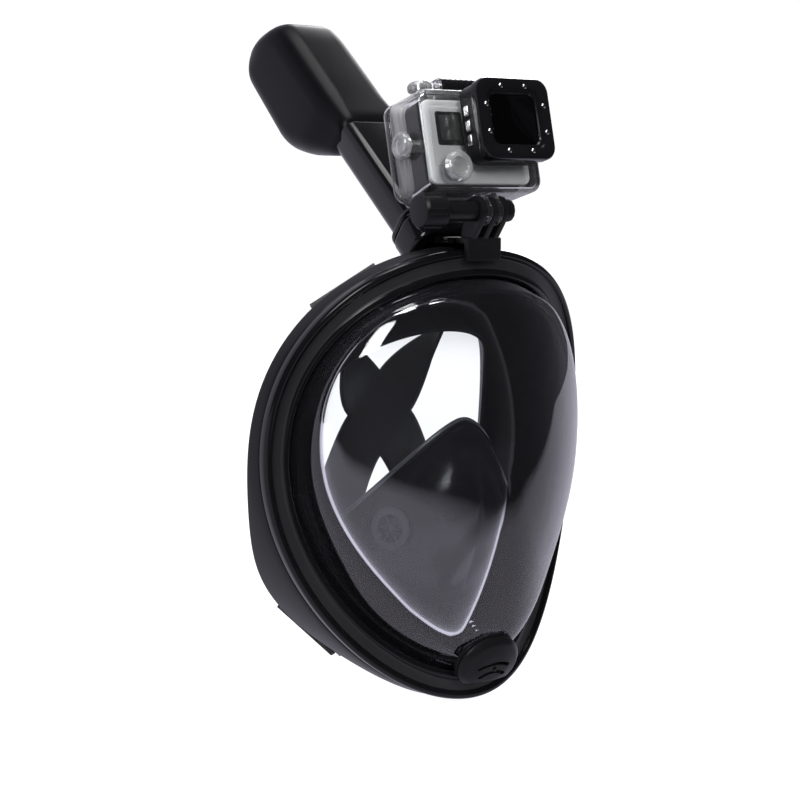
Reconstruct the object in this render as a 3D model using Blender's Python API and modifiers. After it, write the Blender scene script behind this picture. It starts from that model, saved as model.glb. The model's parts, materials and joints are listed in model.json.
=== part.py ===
"""Full face snorkel mask with a dry-top snorkel, a head harness and an action camera on its mount.

Everything is laid out in millimetres and stored in metres. +Z is up, the wearer looks along -Y and
the wearer's left is +X. The origin is the centre of the face opening, level with the frame's sides.
"""

import math

import bmesh
import bpy
from mathutils import Matrix, Vector

MM = 0.001
GAP = 0.4
TAU = 2 * math.pi

# Frame rim: the front outer edge of the trim ring, a closed egg that wraps back round the temples.
RIM_HALF_WIDTH = 93.0
RIM_HALF_HEIGHT = 117.7
RIM_STEPS = 48

# Ring stack, measured from the rim edge: u outwards, v forwards.
TRIM_WIDTH = 14.0
TRIM_BACK = -6.0
LENS_FLANGE_FRONT = -3.6
LENS_THICKNESS = 2.2
FRAME_WALL = 2.6
FRAME_BACK = -14.0
EAR_EXTRA_DEPTH = 21.0
EAR_ANGLE = math.radians(118)
EAR_SPREAD = math.radians(24)

# Lens crease, where the side wall turns into the front window: angle, inset u, depth v.
CREASE_KEYS = ((0, -22.0, 9.0), (40, -16.5, 13.0), (90, -18.5, 25.0), (130, -29.0, 25.0), (180, -24.0, 9.0))
LENS_APEX = Vector((0.0, -66.0, 6.0))

# Skirt: path of its wall from the clamped bead to the lip of the face opening, as (u, v).
SKIRT_PATH = ((-4.0, -8.7), (-12.6, -8.7), (-14.4, -12.0), (-14.9, -30.0), (-19.0, -40.0),
              (-26.0, -44.0), (-34.0, -41.5), (-42.0, -29.0))
SKIRT_THICKNESS = 1.8

# Snorkel: a flat tube that leans back from the top of the frame, in its own (s, n) side plane.
TUBE_RISE = math.radians(38.6)
TUBE_FOOT = Vector((0.0, -17.0, 109.0))
TUBE_HALF_WIDTH = 20.0
TUBE_HALF_DEPTH = 10.0
TUBE_WALL = 2.0
TUBE_CORNER = 6.0
SOCKET_START = 3.0
SOCKET_WALL = 2.6
TUBE_SHOULDER = 19.0
SPIGOT_START = 9.0
TUBE_END = 100.0
HEAD_HALF_WIDTH = 23.0
HEAD_WALL = 2.2
HEAD_OUTLINE = ((62.3, 158.8), (97.0, 160.0), (112.0, 163.0), (121.0, 167.0), (158.5, 200.5), (160.5, 208.0),
                (155.0, 222.0), (143.0, 230.0), (124.0, 234.0), (113.0, 227.0), (49.1, 175.9))
SEAM = ((40.0, 190.5), (170.0, 167.0))
INTAKE_SLOTS = 5

# Chin valve: an oval plate that faces forwards and a little down.
CHIN_CENTRE = Vector((0.0, -45.0, -90.3))
CHIN_TILT = math.radians(20)
CHIN_RADIUS = 14.8
CHIN_STRETCH = 1.22
CHIN_BORE = 7.4
CHIN_NECK = 1.8
CHIN_SILL = -100.6

# Inhale valves in the pocket's cheeks: side and drop on the pocket's surface.
CHEEK_SIDE = 0.72
CHEEK_DROP = 0.28
CHEEK_BORE = 8.6

# Harness: anchors on the rim and the crossing behind the head.
UPPER_ANCHOR = math.radians(37)
LOWER_ANCHOR = math.radians(128)
ANCHOR_INSET = 6.0
WEBBING_WIDTH = 37.0
WEBBING_THICKNESS = 2.2
CROSSING = Vector((0.0, 50.0, 22.0))
CROSSING_HALF = (20.0, 23.0)
STRAP_PULL = ((0.0, -22.0, -10.0), (0.0, -26.0, 2.0))

# Action camera case, in its tilted frame: x right, y backwards, z up, origin on the camera's face.
CASE_ORIGIN = Vector((0.0, -36.5, 163.6))
CASE_TILT = math.radians(13.8)
PIVOT = (0.0, -0.5, -33.7)
CASE_HALF_WIDTH = 34.0
CASE_HALF_HEIGHT = 25.0
CASE_FRONT = -4.0
CASE_SPLIT = 21.0
DOOR_FRONT = 22.5
CASE_BACK = 28.0
CASE_WALL = 2.2
SNOUT = (9.0, 7.0)
SNOUT_HALF = (19.0, 17.5)
BEZEL_CENTRE = (10.0, 6.4)
BEZEL_HALF = (21.3, 19.8)
BEZEL_SCREW_REACH = (18.4, 17.0)
SNOUT_FRONT = -17.0
BODY_HALF = (29.5, 20.5)
DOOR_AXIS = (25.5, -26.6)
LATCH_AXIS = (10.0, 30.0)
PRONG_PITCH = 6.4
PRONG_HALF = 1.4
PRONG_RADIUS = 7.2
SCREW_RADIUS = 2.5


# ---------------------------------------------------------------- scene and mesh helpers

def clear_scene():
    for obj in list(bpy.data.objects):
        bpy.data.objects.remove(obj)


def collection(name):
    made = bpy.data.collections.new(name)
    bpy.context.scene.collection.children.link(made)
    return made


def material(name, colour, roughness, metallic=0.0, alpha=1.0):
    made = bpy.data.materials.new(name)
    made.use_nodes = True
    shader = made.node_tree.nodes["Principled BSDF"]
    shader.inputs["Base Color"].default_value = (*colour, 1.0)
    shader.inputs["Roughness"].default_value = roughness
    shader.inputs["Metallic"].default_value = metallic
    shader.inputs["Alpha"].default_value = alpha
    return made


def mesh_object(name, mesh_data, finish=None):
    """Turns a millimetre bmesh into an object in metres; with no finish it is a cutter."""
    mesh_data.normal_update()
    bmesh.ops.recalc_face_normals(mesh_data, faces=mesh_data.faces)
    bmesh.ops.scale(mesh_data, vec=(MM, MM, MM), verts=mesh_data.verts)
    mesh = bpy.data.meshes.new(name)
    mesh_data.to_mesh(mesh)
    mesh_data.free()
    obj = bpy.data.objects.new(name, mesh)
    if finish is None:
        CUTTERS.objects.link(obj)
        obj.hide_render = True
        obj.display_type = "WIRE"
        return obj
    MASK.objects.link(obj)
    mesh.materials.append(FINISH[finish])
    mesh.shade_smooth()
    mesh.set_sharp_from_angle(angle=math.radians(35))
    return obj


def quads_between(mesh_data, first, second):
    count = len(first)
    for i in range(count):
        j = (i + 1) % count
        mesh_data.faces.new((first[i], first[j], second[j], second[i]))


def loft(name, rings, finish=None, closed=False):
    """Joins rings of equal length into a tube; closed joins the last ring to the first, else caps both ends."""
    mesh_data = bmesh.new()
    rows = [[mesh_data.verts.new(p) for p in ring] for ring in rings]
    for first, second in zip(rows, rows[1:]):
        quads_between(mesh_data, first, second)
    if closed:
        quads_between(mesh_data, rows[-1], rows[0])
    else:
        mesh_data.faces.new(rows[0])
        mesh_data.faces.new(rows[-1])
    return mesh_object(name, mesh_data, finish)


def sheet(name, grid, thickness, finish, around=False, pole=None, offset=-1.0):
    """An open surface of rows of points, given its thickness by Solidify. around closes each row on itself."""
    mesh_data = bmesh.new()
    rows = [[mesh_data.verts.new(p) for p in row] for row in grid]
    span = len(rows[0])
    for first, second in zip(rows, rows[1:]):
        for i in range(span if around else span - 1):
            j = (i + 1) % span
            mesh_data.faces.new((first[i], first[j], second[j], second[i]))
    if pole is not None:
        tip = mesh_data.verts.new(pole)
        for i in range(span):
            mesh_data.faces.new((rows[-1][i], rows[-1][(i + 1) % span], tip))
    obj = mesh_object(name, mesh_data, finish)
    solidify(obj, thickness, offset)
    return obj


def solidify(obj, thickness, offset=-1.0):
    made = obj.modifiers.new("Thickness", "SOLIDIFY")
    made.thickness = thickness * MM
    made.offset = offset
    made.use_even_offset = True
    made.use_quality_normals = True


def rounded(obj, width, segments=2, angle=40):
    """Rounded edges that leave smooth runs alone."""
    made = obj.modifiers.new("Rounding", "BEVEL")
    made.width = width * MM
    made.segments = segments
    made.limit_method = "ANGLE"
    made.angle_limit = math.radians(angle)
    made.use_clamp_overlap = True
    return obj


def boolean(obj, other, operation="DIFFERENCE"):
    made = obj.modifiers.new("Cut" if operation == "DIFFERENCE" else "Join", "BOOLEAN")
    made.operation = operation
    made.object = other
    return obj


def box(name, low, high, finish=None, place=None):
    """A box between two corners, in the frame that the matrix place gives."""
    mesh_data = bmesh.new()
    bmesh.ops.create_cube(mesh_data, size=1.0)
    low, high = Vector(low), Vector(high)
    bmesh.ops.scale(mesh_data, vec=high - low, verts=mesh_data.verts)
    bmesh.ops.translate(mesh_data, vec=(low + high) / 2, verts=mesh_data.verts)
    if place is not None:
        mesh_data.transform(place)
    return mesh_object(name, mesh_data, finish)


def turned(name, profile, place, finish=None, steps=24):
    """A solid of revolution about local Z; the profile is (radius, height), closed onto the axis at both ends."""
    rings = []
    for radius, height in profile:
        rings.append([place @ Vector((radius * math.cos(TAU * k / steps), radius * math.sin(TAU * k / steps), height))
                      for k in range(steps)])
    return loft(name, rings, finish)


def hollow_turned(name, profile, place, finish, steps=24):
    """A ring of revolution about local Z; the closed profile never meets the axis."""
    rings = []
    for k in range(steps):
        c, s = math.cos(TAU * k / steps), math.sin(TAU * k / steps)
        rings.append([place @ Vector((radius * c, radius * s, height)) for radius, height in profile])
    return loft(name, rings, finish, closed=True)


def axis_frame(origin, direction, up=(0.0, 0.0, 1.0)):
    """A matrix whose local Z runs along direction."""
    z = Vector(direction).normalized()
    x = Vector(up).cross(z)
    x = x.normalized() if x.length > 1e-6 else Vector((1.0, 0.0, 0.0))
    y = z.cross(x)
    made = Matrix((x, y, z)).transposed().to_4x4()
    made.translation = Vector(origin)
    return made


def mirror_x(matrix):
    """The same placement on the other side of the mask, still right-handed."""
    return Matrix.Scale(-1, 4, (1, 0, 0)) @ matrix @ Matrix.Scale(-1, 4, (1, 0, 0))


def in_case(x, y, z):
    """A point of the tilted camera frame, in the mask's frame."""
    return CASE_FRAME @ Vector((x, y, z))


def inset(outline, amount):
    """Moves every side of an anticlockwise flat outline inwards and meets the sides again."""
    count = len(outline)
    made = []
    for i in range(count):
        before, here, after = (Vector(outline[(i + k) % count]) for k in (-1, 0, 1))
        first, second = (here - before).normalized(), (after - here).normalized()
        left = Vector((-first.y, first.x)) + Vector((-second.y, second.x))
        made.append(here + left * (amount / (1 + first.dot(second))))
    return made


def prism(name, outline, low, high, finish=None, place=None):
    """A flat outline given as (Y, Z), extruded along X between low and high."""
    place = place or Matrix.Identity(4)
    rings = [[place @ Vector((x, y, z)) for y, z in outline] for x in (low, high)]
    return loft(name, rings, finish)


def rounded_rectangle(half_width, half_height, corner, steps=3):
    made = []
    for quarter in range(4):
        across = (1, -1, -1, 1)[quarter]
        upwards = (1, 1, -1, -1)[quarter]
        for k in range(steps + 1):
            turn = math.pi / 2 * (quarter + k / steps)
            made.append((across * (half_width - corner) + corner * math.cos(turn),
                         upwards * (half_height - corner) + corner * math.sin(turn)))
    return made


# ---------------------------------------------------------------- the rim and its ring stack

def rim_point(t):
    x = RIM_HALF_WIDTH * (math.sin(t) + 0.071 * math.sin(2 * t) - 0.033 * math.sin(3 * t))
    y = -18.4 + 0.4 * math.cos(t) - 20.4 * math.cos(2 * t) + 1.07 * math.cos(4 * t)
    z = RIM_HALF_HEIGHT * (math.cos(t) - 0.041 * math.cos(3 * t))
    return Vector((x, y, z))


def rim_outward(t):
    ahead = rim_point(t + 0.01) - rim_point(t - 0.01)
    return Vector((-ahead.z, 0.0, ahead.x)).normalized()


def on_rim(t, u, v):
    """The point u outside the rim edge and v in front of it, at angle t from the top."""
    return rim_point(t) + rim_outward(t) * u + Vector((0.0, -v, 0.0))


def rim_angles(steps=RIM_STEPS):
    return [TAU * k / steps for k in range(steps)]


def eased(keys, angle):
    """Smooth value at an angle in degrees, 0 to 180, between keyed angles."""
    for (a, *low), (b, *high) in zip(keys, keys[1:]):
        if angle <= b:
            share = (angle - a) / (b - a)
            share = share * share * (3 - 2 * share)
            return [p + (q - p) * share for p, q in zip(low, high)]
    return list(keys[-1][1:])


def half_angle(t):
    """Angle from the top of the rim in degrees, the same on both sides."""
    degrees = math.degrees(t) % 360
    return min(degrees, 360 - degrees)


def ear(t):
    """How far the frame's wall is on its way to the full depth of a strap ear, 0 to 1."""
    away = (math.radians(half_angle(t)) - EAR_ANGLE) / EAR_SPREAD
    return math.exp(-away * away * 1.6)


def sweep_rim(name, section, finish=None, steps=RIM_STEPS):
    rings = [[on_rim(t, u, v) for u, v in section(t)] for t in rim_angles(steps)]
    return loft(name, rings, finish, closed=True)


def trim_section(_t):
    return ((0.0, TRIM_BACK), (0.0, -1.0), (-1.1, 0.8), (-3.0, 0.9), (-4.2, -0.6), (-9.8, -0.9),
            (-11.0, 0.3), (-12.8, 0.3), (-TRIM_WIDTH, -1.0), (-TRIM_WIDTH, -3.2), (-FRAME_WALL, -3.2),
            (-FRAME_WALL, TRIM_BACK))


def frame_section(t):
    back = FRAME_BACK - EAR_EXTRA_DEPTH * ear(t)
    flare = 1.5 + 3.0 * ear(t)
    front = TRIM_BACK - GAP
    return ((0.0, front), (0.9, FRAME_BACK + 3.0), (flare, back), (flare - FRAME_WALL, back),
            (0.9 - FRAME_WALL, FRAME_BACK), (-12.4, FRAME_BACK), (-12.4, FRAME_BACK + 2.4),
            (-FRAME_WALL, FRAME_BACK + 2.4), (-FRAME_WALL, front))


def make_ring_stack():
    sweep_rim("front_trim_ring", trim_section, "gloss_black")
    sweep_rim("rear_frame", frame_section, "satin_black")


# ---------------------------------------------------------------- lens

def crease_point(t):
    inset, depth = eased(CREASE_KEYS, half_angle(t))
    return on_rim(t, inset, depth)


def lens_row_points(t):
    """Outer surface of the lens at one rim angle, from the clamped flange to near the apex."""
    foot = on_rim(t, -TRIM_WIDTH - GAP, LENS_FLANGE_FRONT)
    crease = crease_point(t)
    inner = [window_point(crease, share) for share in (0.93, 0.76, 0.54, 0.28)]
    wall_top = foot.lerp(crease, 0.8)
    bend = [bezier(wall_top, crease, inner[0], q) for q in (0.0, 0.33, 0.67, 1.0)]
    return [on_rim(t, -4.0, LENS_FLANGE_FRONT), foot, *bend, *inner[1:]]


def window_point(crease, share):
    """A point of the bulged window on the line from the apex to the crease."""
    flat = LENS_APEX.lerp(crease, share)
    flat.y = LENS_APEX.y + (crease.y - LENS_APEX.y) * share * share
    return flat


def bezier(a, b, c, q):
    return a * (1 - q) ** 2 + b * 2 * q * (1 - q) + c * q * q


def make_lens():
    columns = [lens_row_points(t) for t in rim_angles()]
    rows = list(map(list, zip(*columns)))
    return sheet("visor_lens", rows, LENS_THICKNESS, "clear_lens", around=True, pole=LENS_APEX)


# ---------------------------------------------------------------- skirt and pocket

def make_skirt():
    rows = [[on_rim(t, u, v) for t in rim_angles()] for u, v in SKIRT_PATH]
    return sheet("face_skirt", rows, SKIRT_THICKNESS, "black_silicone", around=True, offset=0.0)


def pocket_point(side, drop):
    """Pocket surface: side runs -1 to 1 across the face, drop 0 at the nose bridge to 1 under the chin."""
    spread = abs(side)
    top = Vector((50.0 * side, -26.0 + 44.0 * spread ** 2.1, 27.5 - 56.0 * spread ** 1.6))
    low = Vector((34.0 * side, -12.0 + 14.0 * spread ** 2, -82.0 + 16.0 * spread ** 2))
    nose = math.sin(math.pi * min(1.0, drop * 1.04) ** 0.8) * (1 - spread ** 2.4)
    flat = top.lerp(low, drop)
    cheek = 16.0 * math.sin(math.pi * drop) * (1 - spread) * spread
    return flat + Vector((math.copysign(6.0 * math.sin(math.pi * drop) * spread, side), -22.0 * nose - cheek, 0.0))


def make_pocket():
    across, down = 18, 9
    rows = [[pocket_point(-1 + 2 * i / across, j / down) for i in range(across + 1)] for j in range(down + 1)]
    pocket = sheet("orinasal_pocket", rows, 1.6, "black_silicone", offset=0.0)
    for side, place in cheek_frames():
        boolean(pocket, turned(f"cheek_bore_{side}", ((CHEEK_BORE, -14.0), (CHEEK_BORE, 14.0)), place))
    return pocket


def cheek_frames():
    """Placements of the two inhale valves, local Z pointing forwards out of the cheek."""
    here = pocket_point(CHEEK_SIDE, CHEEK_DROP)
    across = pocket_point(CHEEK_SIDE + 0.05, CHEEK_DROP) - here
    down = pocket_point(CHEEK_SIDE, CHEEK_DROP + 0.05) - here
    outward = across.cross(down)
    if outward.y > 0:
        outward.negate()
    left = axis_frame(here, outward)
    return (("left", left), ("right", mirror_x(left)))


def make_cheek_valves():
    """Each valve is a clamped ring with a thin flap that lifts off its wearer's side."""
    outer = CHEEK_BORE - GAP
    seat = ((outer, -2.2), (outer, 2.4), (outer + 2.6, 2.4), (outer + 2.6, 3.6), (5.6, 3.6), (5.6, -2.2))
    for side, place in cheek_frames():
        hollow_turned(f"cheek_valve_seat_{side}", seat, place, "satin_black")
        turned(f"cheek_valve_flap_{side}", ((7.4, -3.2), (7.4, -2.6)), place, "grey_silicone")


# ---------------------------------------------------------------- chin valve

def chin_frame(lift=0.0):
    """Local Z looks out of the chin; the plate is stretched sideways."""
    outward = Vector((0.0, -math.cos(CHIN_TILT), -math.sin(CHIN_TILT)))
    return axis_frame(CHIN_CENTRE + outward * lift, outward) @ Matrix.Scale(CHIN_STRETCH, 4, (1, 0, 0))


def chin_louvre(name, radius, spread):
    """A curved slot through the cover, part of a ring round a point below its middle."""
    arc = [math.radians(90 + spread * (k / 4 - 1)) for k in range(9)]
    loop = [(radius - 0.9, a) for a in arc] + [(radius + 0.9, a) for a in reversed(arc)]
    return loft(name, [[chin_frame() @ Vector((r * math.cos(a), r * math.sin(a) - 10.6, height)) for r, a in loop]
                       for height in (4.9, 14.0)])


def make_chin_valve(lens):
    edge, neck = CHIN_RADIUS, CHIN_BORE + CHIN_NECK
    boolean(lens, turned("chin_opening", ((edge + GAP, -0.4), (edge + GAP, 30.0)), chin_frame()))
    boolean(lens, turned("chin_port", ((neck + GAP, -14.0), (neck + GAP, 12.0)), chin_frame()))
    seat_profile = ((edge, 0.0), (edge, 2.2), (CHIN_BORE, 2.2), (CHIN_BORE, -7.0), (neck, -7.0), (neck, 0.0))
    seat = hollow_turned("chin_valve_seat", seat_profile, chin_frame(), "satin_black", 32)
    turned("chin_valve_flap", ((CHIN_BORE + 1.6, 2.6), (CHIN_BORE + 1.6, 3.4)), chin_frame(), "grey_silicone")
    shell = ((edge, 2.6), (edge, 4.0), (edge - 2.2, 6.6), (edge - 7.5, 8.6), (0.8, 9.2),
             (0.8, 7.4), (edge - 8.0, 6.9), (edge - 3.4, 5.4), (edge - 2.2, 4.0), (edge - 2.2, 2.6))
    cover = hollow_turned("chin_valve_cover", shell, chin_frame(), "gloss_black", 32)
    for k, (radius, spread) in enumerate(((13.1, 36), (8.3, 50))):
        boolean(cover, chin_louvre(f"chin_louvre_{k}", radius, spread))
    for piece in (seat, cover):
        boolean(piece, box(piece.name + "_sill", (-30.0, -80.0, -130.0), (30.0, -20.0, CHIN_SILL)))


# ---------------------------------------------------------------- snorkel

def tube_frame(along=0.0):
    """Local Z up the tube, local Y towards its upper front face, local X across the mask."""
    along_tube = Vector((0.0, math.cos(TUBE_RISE), math.sin(TUBE_RISE)))
    front = Vector((0.0, -math.sin(TUBE_RISE), math.cos(TUBE_RISE)))
    made = Matrix((Vector((-1.0, 0.0, 0.0)), front, along_tube)).transposed().to_4x4()
    made.translation = TUBE_FOOT + along_tube * along
    return made


def tube_loop(along, grow=0.0):
    """The tube's rounded rectangle at a height along it, grown outwards all round."""
    outline = rounded_rectangle(TUBE_HALF_WIDTH + grow, TUBE_HALF_DEPTH + grow, TUBE_CORNER + grow)
    return [tube_frame(along) @ Vector((x, y, 0.0)) for x, y in outline]


def sleeve(name, stations, finish):
    """A hollow sleeve given as a closed run of (along, grow) that goes up the outside and down the bore."""
    return loft(name, [tube_loop(along, grow) for along, grow in stations], finish, closed=True)


def make_snorkel_base(frame_top):
    socket = sleeve("snorkel_socket", ((SOCKET_START, 2.4), (SOCKET_START + 2.0, SOCKET_WALL + 0.4),
                                       (TUBE_SHOULDER - 1.2, SOCKET_WALL + 0.4), (TUBE_SHOULDER, SOCKET_WALL),
                                       (TUBE_SHOULDER, GAP), (SPIGOT_START - 0.6, GAP),
                                       (SPIGOT_START - 0.6, -3.0), (SOCKET_START, -3.0)), "gloss_black")
    saddle = box("socket_saddle", (-13.0, -31.0, frame_top), (13.0, -14.0, frame_top + 3.4))
    boolean(socket, rounded(saddle, 0.8), "UNION")


def make_snorkel_tube():
    sleeve("snorkel_tube", ((SPIGOT_START, -0.6), (14.0, -0.6), (14.0, -1.4), (17.0, -1.4), (17.0, -0.2),
                                   (TUBE_SHOULDER + GAP, -0.2), (TUBE_SHOULDER + GAP, SOCKET_WALL),
                                   (TUBE_SHOULDER + 4.0, SOCKET_WALL), (TUBE_SHOULDER + 5.4, 0.0),
                                   (TUBE_END, 0.0), (TUBE_END, -TUBE_WALL - 0.6), (SPIGOT_START, -TUBE_WALL - 0.6)),
                  "gloss_black")
    sleeve("snorkel_seal", ((14.4, -1.0), (14.4, 0.0), (16.6, 0.0), (16.6, -1.0)), "grey_silicone")


def seam_prism(name, offset, upper):
    """Everything above or below the head's seam, in the side plane."""
    (y0, z0), (y1, z1) = SEAM
    reach = 90.0 if upper else -90.0
    outline = ((y0, z0 + offset), (y1, z1 + offset), (y1, z1 + offset + reach), (y0, z0 + offset + reach))
    return prism(name, outline, -60.0, 60.0)


def head_shell(name, finish):
    shell = prism(name, HEAD_OUTLINE, -HEAD_HALF_WIDTH, HEAD_HALF_WIDTH, finish)
    rounded(shell, 5.0, 3)
    hollow_half = HEAD_HALF_WIDTH - HEAD_WALL
    hollow = prism(name + "_hollow", inset(HEAD_OUTLINE, HEAD_WALL), -hollow_half, hollow_half)
    boolean(shell, rounded(hollow, 3.4, 2))
    return shell


def make_snorkel_head():
    base = head_shell("snorkel_head_base", "gloss_black")
    boolean(base, seam_prism("above_seam", -GAP / 2, True))
    entry = loft("tube_entry", [tube_loop(along, GAP) for along in (80.0, TUBE_END + 1.0)])
    boolean(base, entry)
    for k in range(INTAKE_SLOTS):
        y = 74.0 + 7.0 * k
        boolean(base, box(f"intake_slot_{k}", (-14.0, y, 150.0), (14.0, y + 4.0, 164.5)))
    cap = head_shell("snorkel_head_cap", "gloss_black")
    boolean(cap, seam_prism("below_seam", GAP / 2, False))


def make_float():
    outline = ((88.0, 166.5), (108.0, 168.0), (109.0, 180.0), (88.0, 182.0))
    rounded(prism("float_block", outline, -13.0, 13.0, "grey_plastic"), 2.0)
    place = axis_frame((0.0, 98.0, 184.0), (0.0, 0.0, 1.0), (0.0, 1.0, 0.0))
    turned("float_seal", ((9.0, 0.0), (9.0, 1.2), (6.0, 2.2)), place, "grey_silicone")


# ---------------------------------------------------------------- head harness

def anchor_frame(t):
    """At a strap anchor: local X along the rim, local Y forwards, local Z outwards, origin on the frame's back."""
    def back_edge(angle):
        return on_rim(angle, ANCHOR_INSET * (ear(angle) - 1.0), FRAME_BACK - EAR_EXTRA_DEPTH * ear(angle) - 0.8)
    outward = rim_outward(t)
    along = (back_edge(t - 0.12) - back_edge(t + 0.12))
    along = (along - outward * along.dot(outward)).normalized()
    forward = outward.cross(along)
    made = Matrix((along, forward, outward)).transposed().to_4x4()
    made.translation = back_edge(t)
    return made


ANCHORS = (("upper_left", UPPER_ANCHOR), ("lower_left", LOWER_ANCHOR),
           ("lower_right", TAU - LOWER_ANCHOR), ("upper_right", TAU - UPPER_ANCHOR))


def make_strap_buckles():
    half = WEBBING_WIDTH / 2
    for name, t in ANCHORS:
        place = anchor_frame(t)
        buckle = box(f"strap_buckle_{name}", (-half - 4.0, -8.4, -1.3), (half + 4.0, -1.0, 1.3), "satin_black", place)
        rounded(buckle, 0.6)
        boolean(buckle, box(f"strap_slot_{name}", (-half - 1.0, -5.8, -4.0), (half + 1.0, -2.3, 4.0), place=place))


def strap_end():
    """Centre line of the webbing at an anchor as (forward, outward): in over the bar, round it and back out."""
    bar, reach = -7.1, 3.1
    line = [(-16.8, -0.8), (-12.0, 1.5), (bar, reach)]
    for angle in (60, 30, 0, -30, -60):
        line.append((bar + reach * math.cos(math.radians(angle)), reach * math.sin(math.radians(angle))))
    return line + [(bar, -reach), (-11.8, -3.9), (-15.8, -5.4)]


def strap_arm(root, t):
    """Rows of five points from a side of the crossing out to an anchor and round its bar."""
    place = anchor_frame(t)
    middle = sum(root, Vector()) / len(root)
    spread = [WEBBING_WIDTH * (k / 4 - 0.5) for k in range(5)]
    if (place @ Vector((spread[0], 0, 0)) - root[0]).length > (place @ Vector((spread[-1], 0, 0)) - root[0]).length:
        spread.reverse()
    ends = [[place @ Vector((x, y, z)) for x in spread] for y, z in strap_end()]
    away = (middle - CROSSING).normalized() * 24.0
    pull = place.to_3x3() @ Vector(STRAP_PULL[t not in (UPPER_ANCHOR, TAU - UPPER_ANCHOR)])
    rows = []
    for step in range(1, 7):
        q = step / 7
        row = []
        for start, end in zip(root, ends[0]):
            a, b = start + away, end + pull
            row.append(start * (1 - q) ** 3 + a * 3 * q * (1 - q) ** 2 + b * 3 * q * q * (1 - q) + end * q ** 3)
        rows.append(row)
    return [root, *rows, *ends]


def make_head_strap():
    """One flat piece: a crossing patch with an arm from each side to an anchor."""
    wide, high = CROSSING_HALF
    top, right, left = (CROSSING + Vector(p) for p in ((0, 0, high), (wide, 0, 0), (-wide, 0, 0)))
    patch = [[top + (right - top) * (i / 4) + (left - top) * (j / 4) for i in range(5)] for j in range(5)]
    sides = (patch[0], [row[4] for row in patch], patch[4], [row[0] for row in patch])
    mesh_data = bmesh.new()
    for grid in [patch] + [strap_arm(side, t) for side, (_, t) in zip(sides, ANCHORS)]:
        rows = [[mesh_data.verts.new(p) for p in row] for row in grid]
        for first, second in zip(rows, rows[1:]):
            for k in range(4):
                mesh_data.faces.new((first[k], first[k + 1], second[k + 1], second[k]))
    bmesh.ops.remove_doubles(mesh_data, verts=mesh_data.verts, dist=0.01)
    strap = mesh_object("head_strap", mesh_data, "webbing")
    solidify(strap, WEBBING_THICKNESS, 0.0)
    return strap


def make_frame_screws():
    for k, degrees in enumerate((20, 75, 150, 210, 285, 340)):
        place = axis_frame(on_rim(math.radians(degrees), -7.5, FRAME_BACK - 3 * GAP), (0.0, 1.0, 0.0))
        turned(f"frame_screw_{k + 1}", ((2.3, 0.0), (2.3, 1.0), (1.6, 1.6)), place, "steel", 12)


# ---------------------------------------------------------------- camera mount, case and camera

def prong_outline(foot, pivot=(0.0, 0.0)):
    """A finger with a round end about the pivot, running down to its foot's two corners."""
    (y0, z0), (y1, z1) = foot
    away = Vector(((y0 + y1) / 2 - pivot[0], (z0 + z1) / 2 - pivot[1]))
    facing = math.atan2(away.y, away.x)
    arc = [(pivot[0] + PRONG_RADIUS * math.cos(facing + math.radians(a)),
            pivot[1] + PRONG_RADIUS * math.sin(facing + math.radians(a))) for a in range(90, 271, 30)]
    return [*arc, (y1, z1), (y0, z0)]


def make_camera_mount(frame_top):
    """Three fingers on a foot that stands on the top of the frame."""
    pivot = in_case(*PIVOT)
    mount = box("camera_mount", (-10.0, -43.5, frame_top), (10.0, -32.0, frame_top + 3.4), "satin_black")
    rounded(mount, 0.8)
    apron = box("mount_apron", (-10.0, -43.5, frame_top - 8.0), (10.0, -39.4, frame_top + 3.0))
    boolean(mount, rounded(apron, 0.8), "UNION")
    foot = ((-33.5, frame_top + 1.5), (-42.5, frame_top + 1.5))
    for k in (-1, 0, 1):
        outline = prong_outline(foot, (pivot.y, pivot.z))
        low = k * PRONG_PITCH - PRONG_HALF
        boolean(mount, prism(f"mount_finger_{k + 1}", outline, low, low + 2 * PRONG_HALF), "UNION")
    boolean(mount, turned("mount_bore", ((SCREW_RADIUS + 0.3, -20.0), (SCREW_RADIUS + 0.3, 20.0)),
                          axis_frame(pivot, (1, 0, 0))))


def make_thumb_screw():
    place = axis_frame(in_case(*PIVOT), (1.0, 0.0, 0.0))
    profile = ((7.4, -40.0), (8.6, -38.6), (8.6, -28.0), (7.0, -26.4), (5.0, -26.0), (5.0, -8.6),
               (SCREW_RADIUS, -8.6), (SCREW_RADIUS, 15.0))
    screw = turned("thumb_screw", profile, place, "satin_black")
    for k in range(6):
        turn = place @ Matrix.Rotation(TAU * k / 6, 4, "Z")
        boolean(screw, turned(f"knob_flute_{k}", ((2.4, -45.0), (2.4, -29.0)), turn @ Matrix.Translation((10.0, 0, 0)),
                              None, 12))
    nut = ((5.4, 8.4), (5.4, 13.0), (SCREW_RADIUS + 0.3, 13.0), (SCREW_RADIUS + 0.3, 8.4))
    hollow_turned("thumb_nut", nut, place, "satin_black", 12)


def case_box(name, x, y, z, finish=None):
    """A box in the case's frame from three (low, high) pairs."""
    return box(name, (x[0], y[0], z[0]), (x[1], y[1], z[1]), finish, CASE_FRAME)


def case_turned(name, profile, x, z, finish=None, steps=24):
    """Turned about a line that runs forwards out of the case; heights are measured forwards from its face."""
    return turned(name, profile, CASE_FRAME @ axis_frame((x, 0.0, z), (0.0, -1.0, 0.0)), finish, steps)


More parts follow.
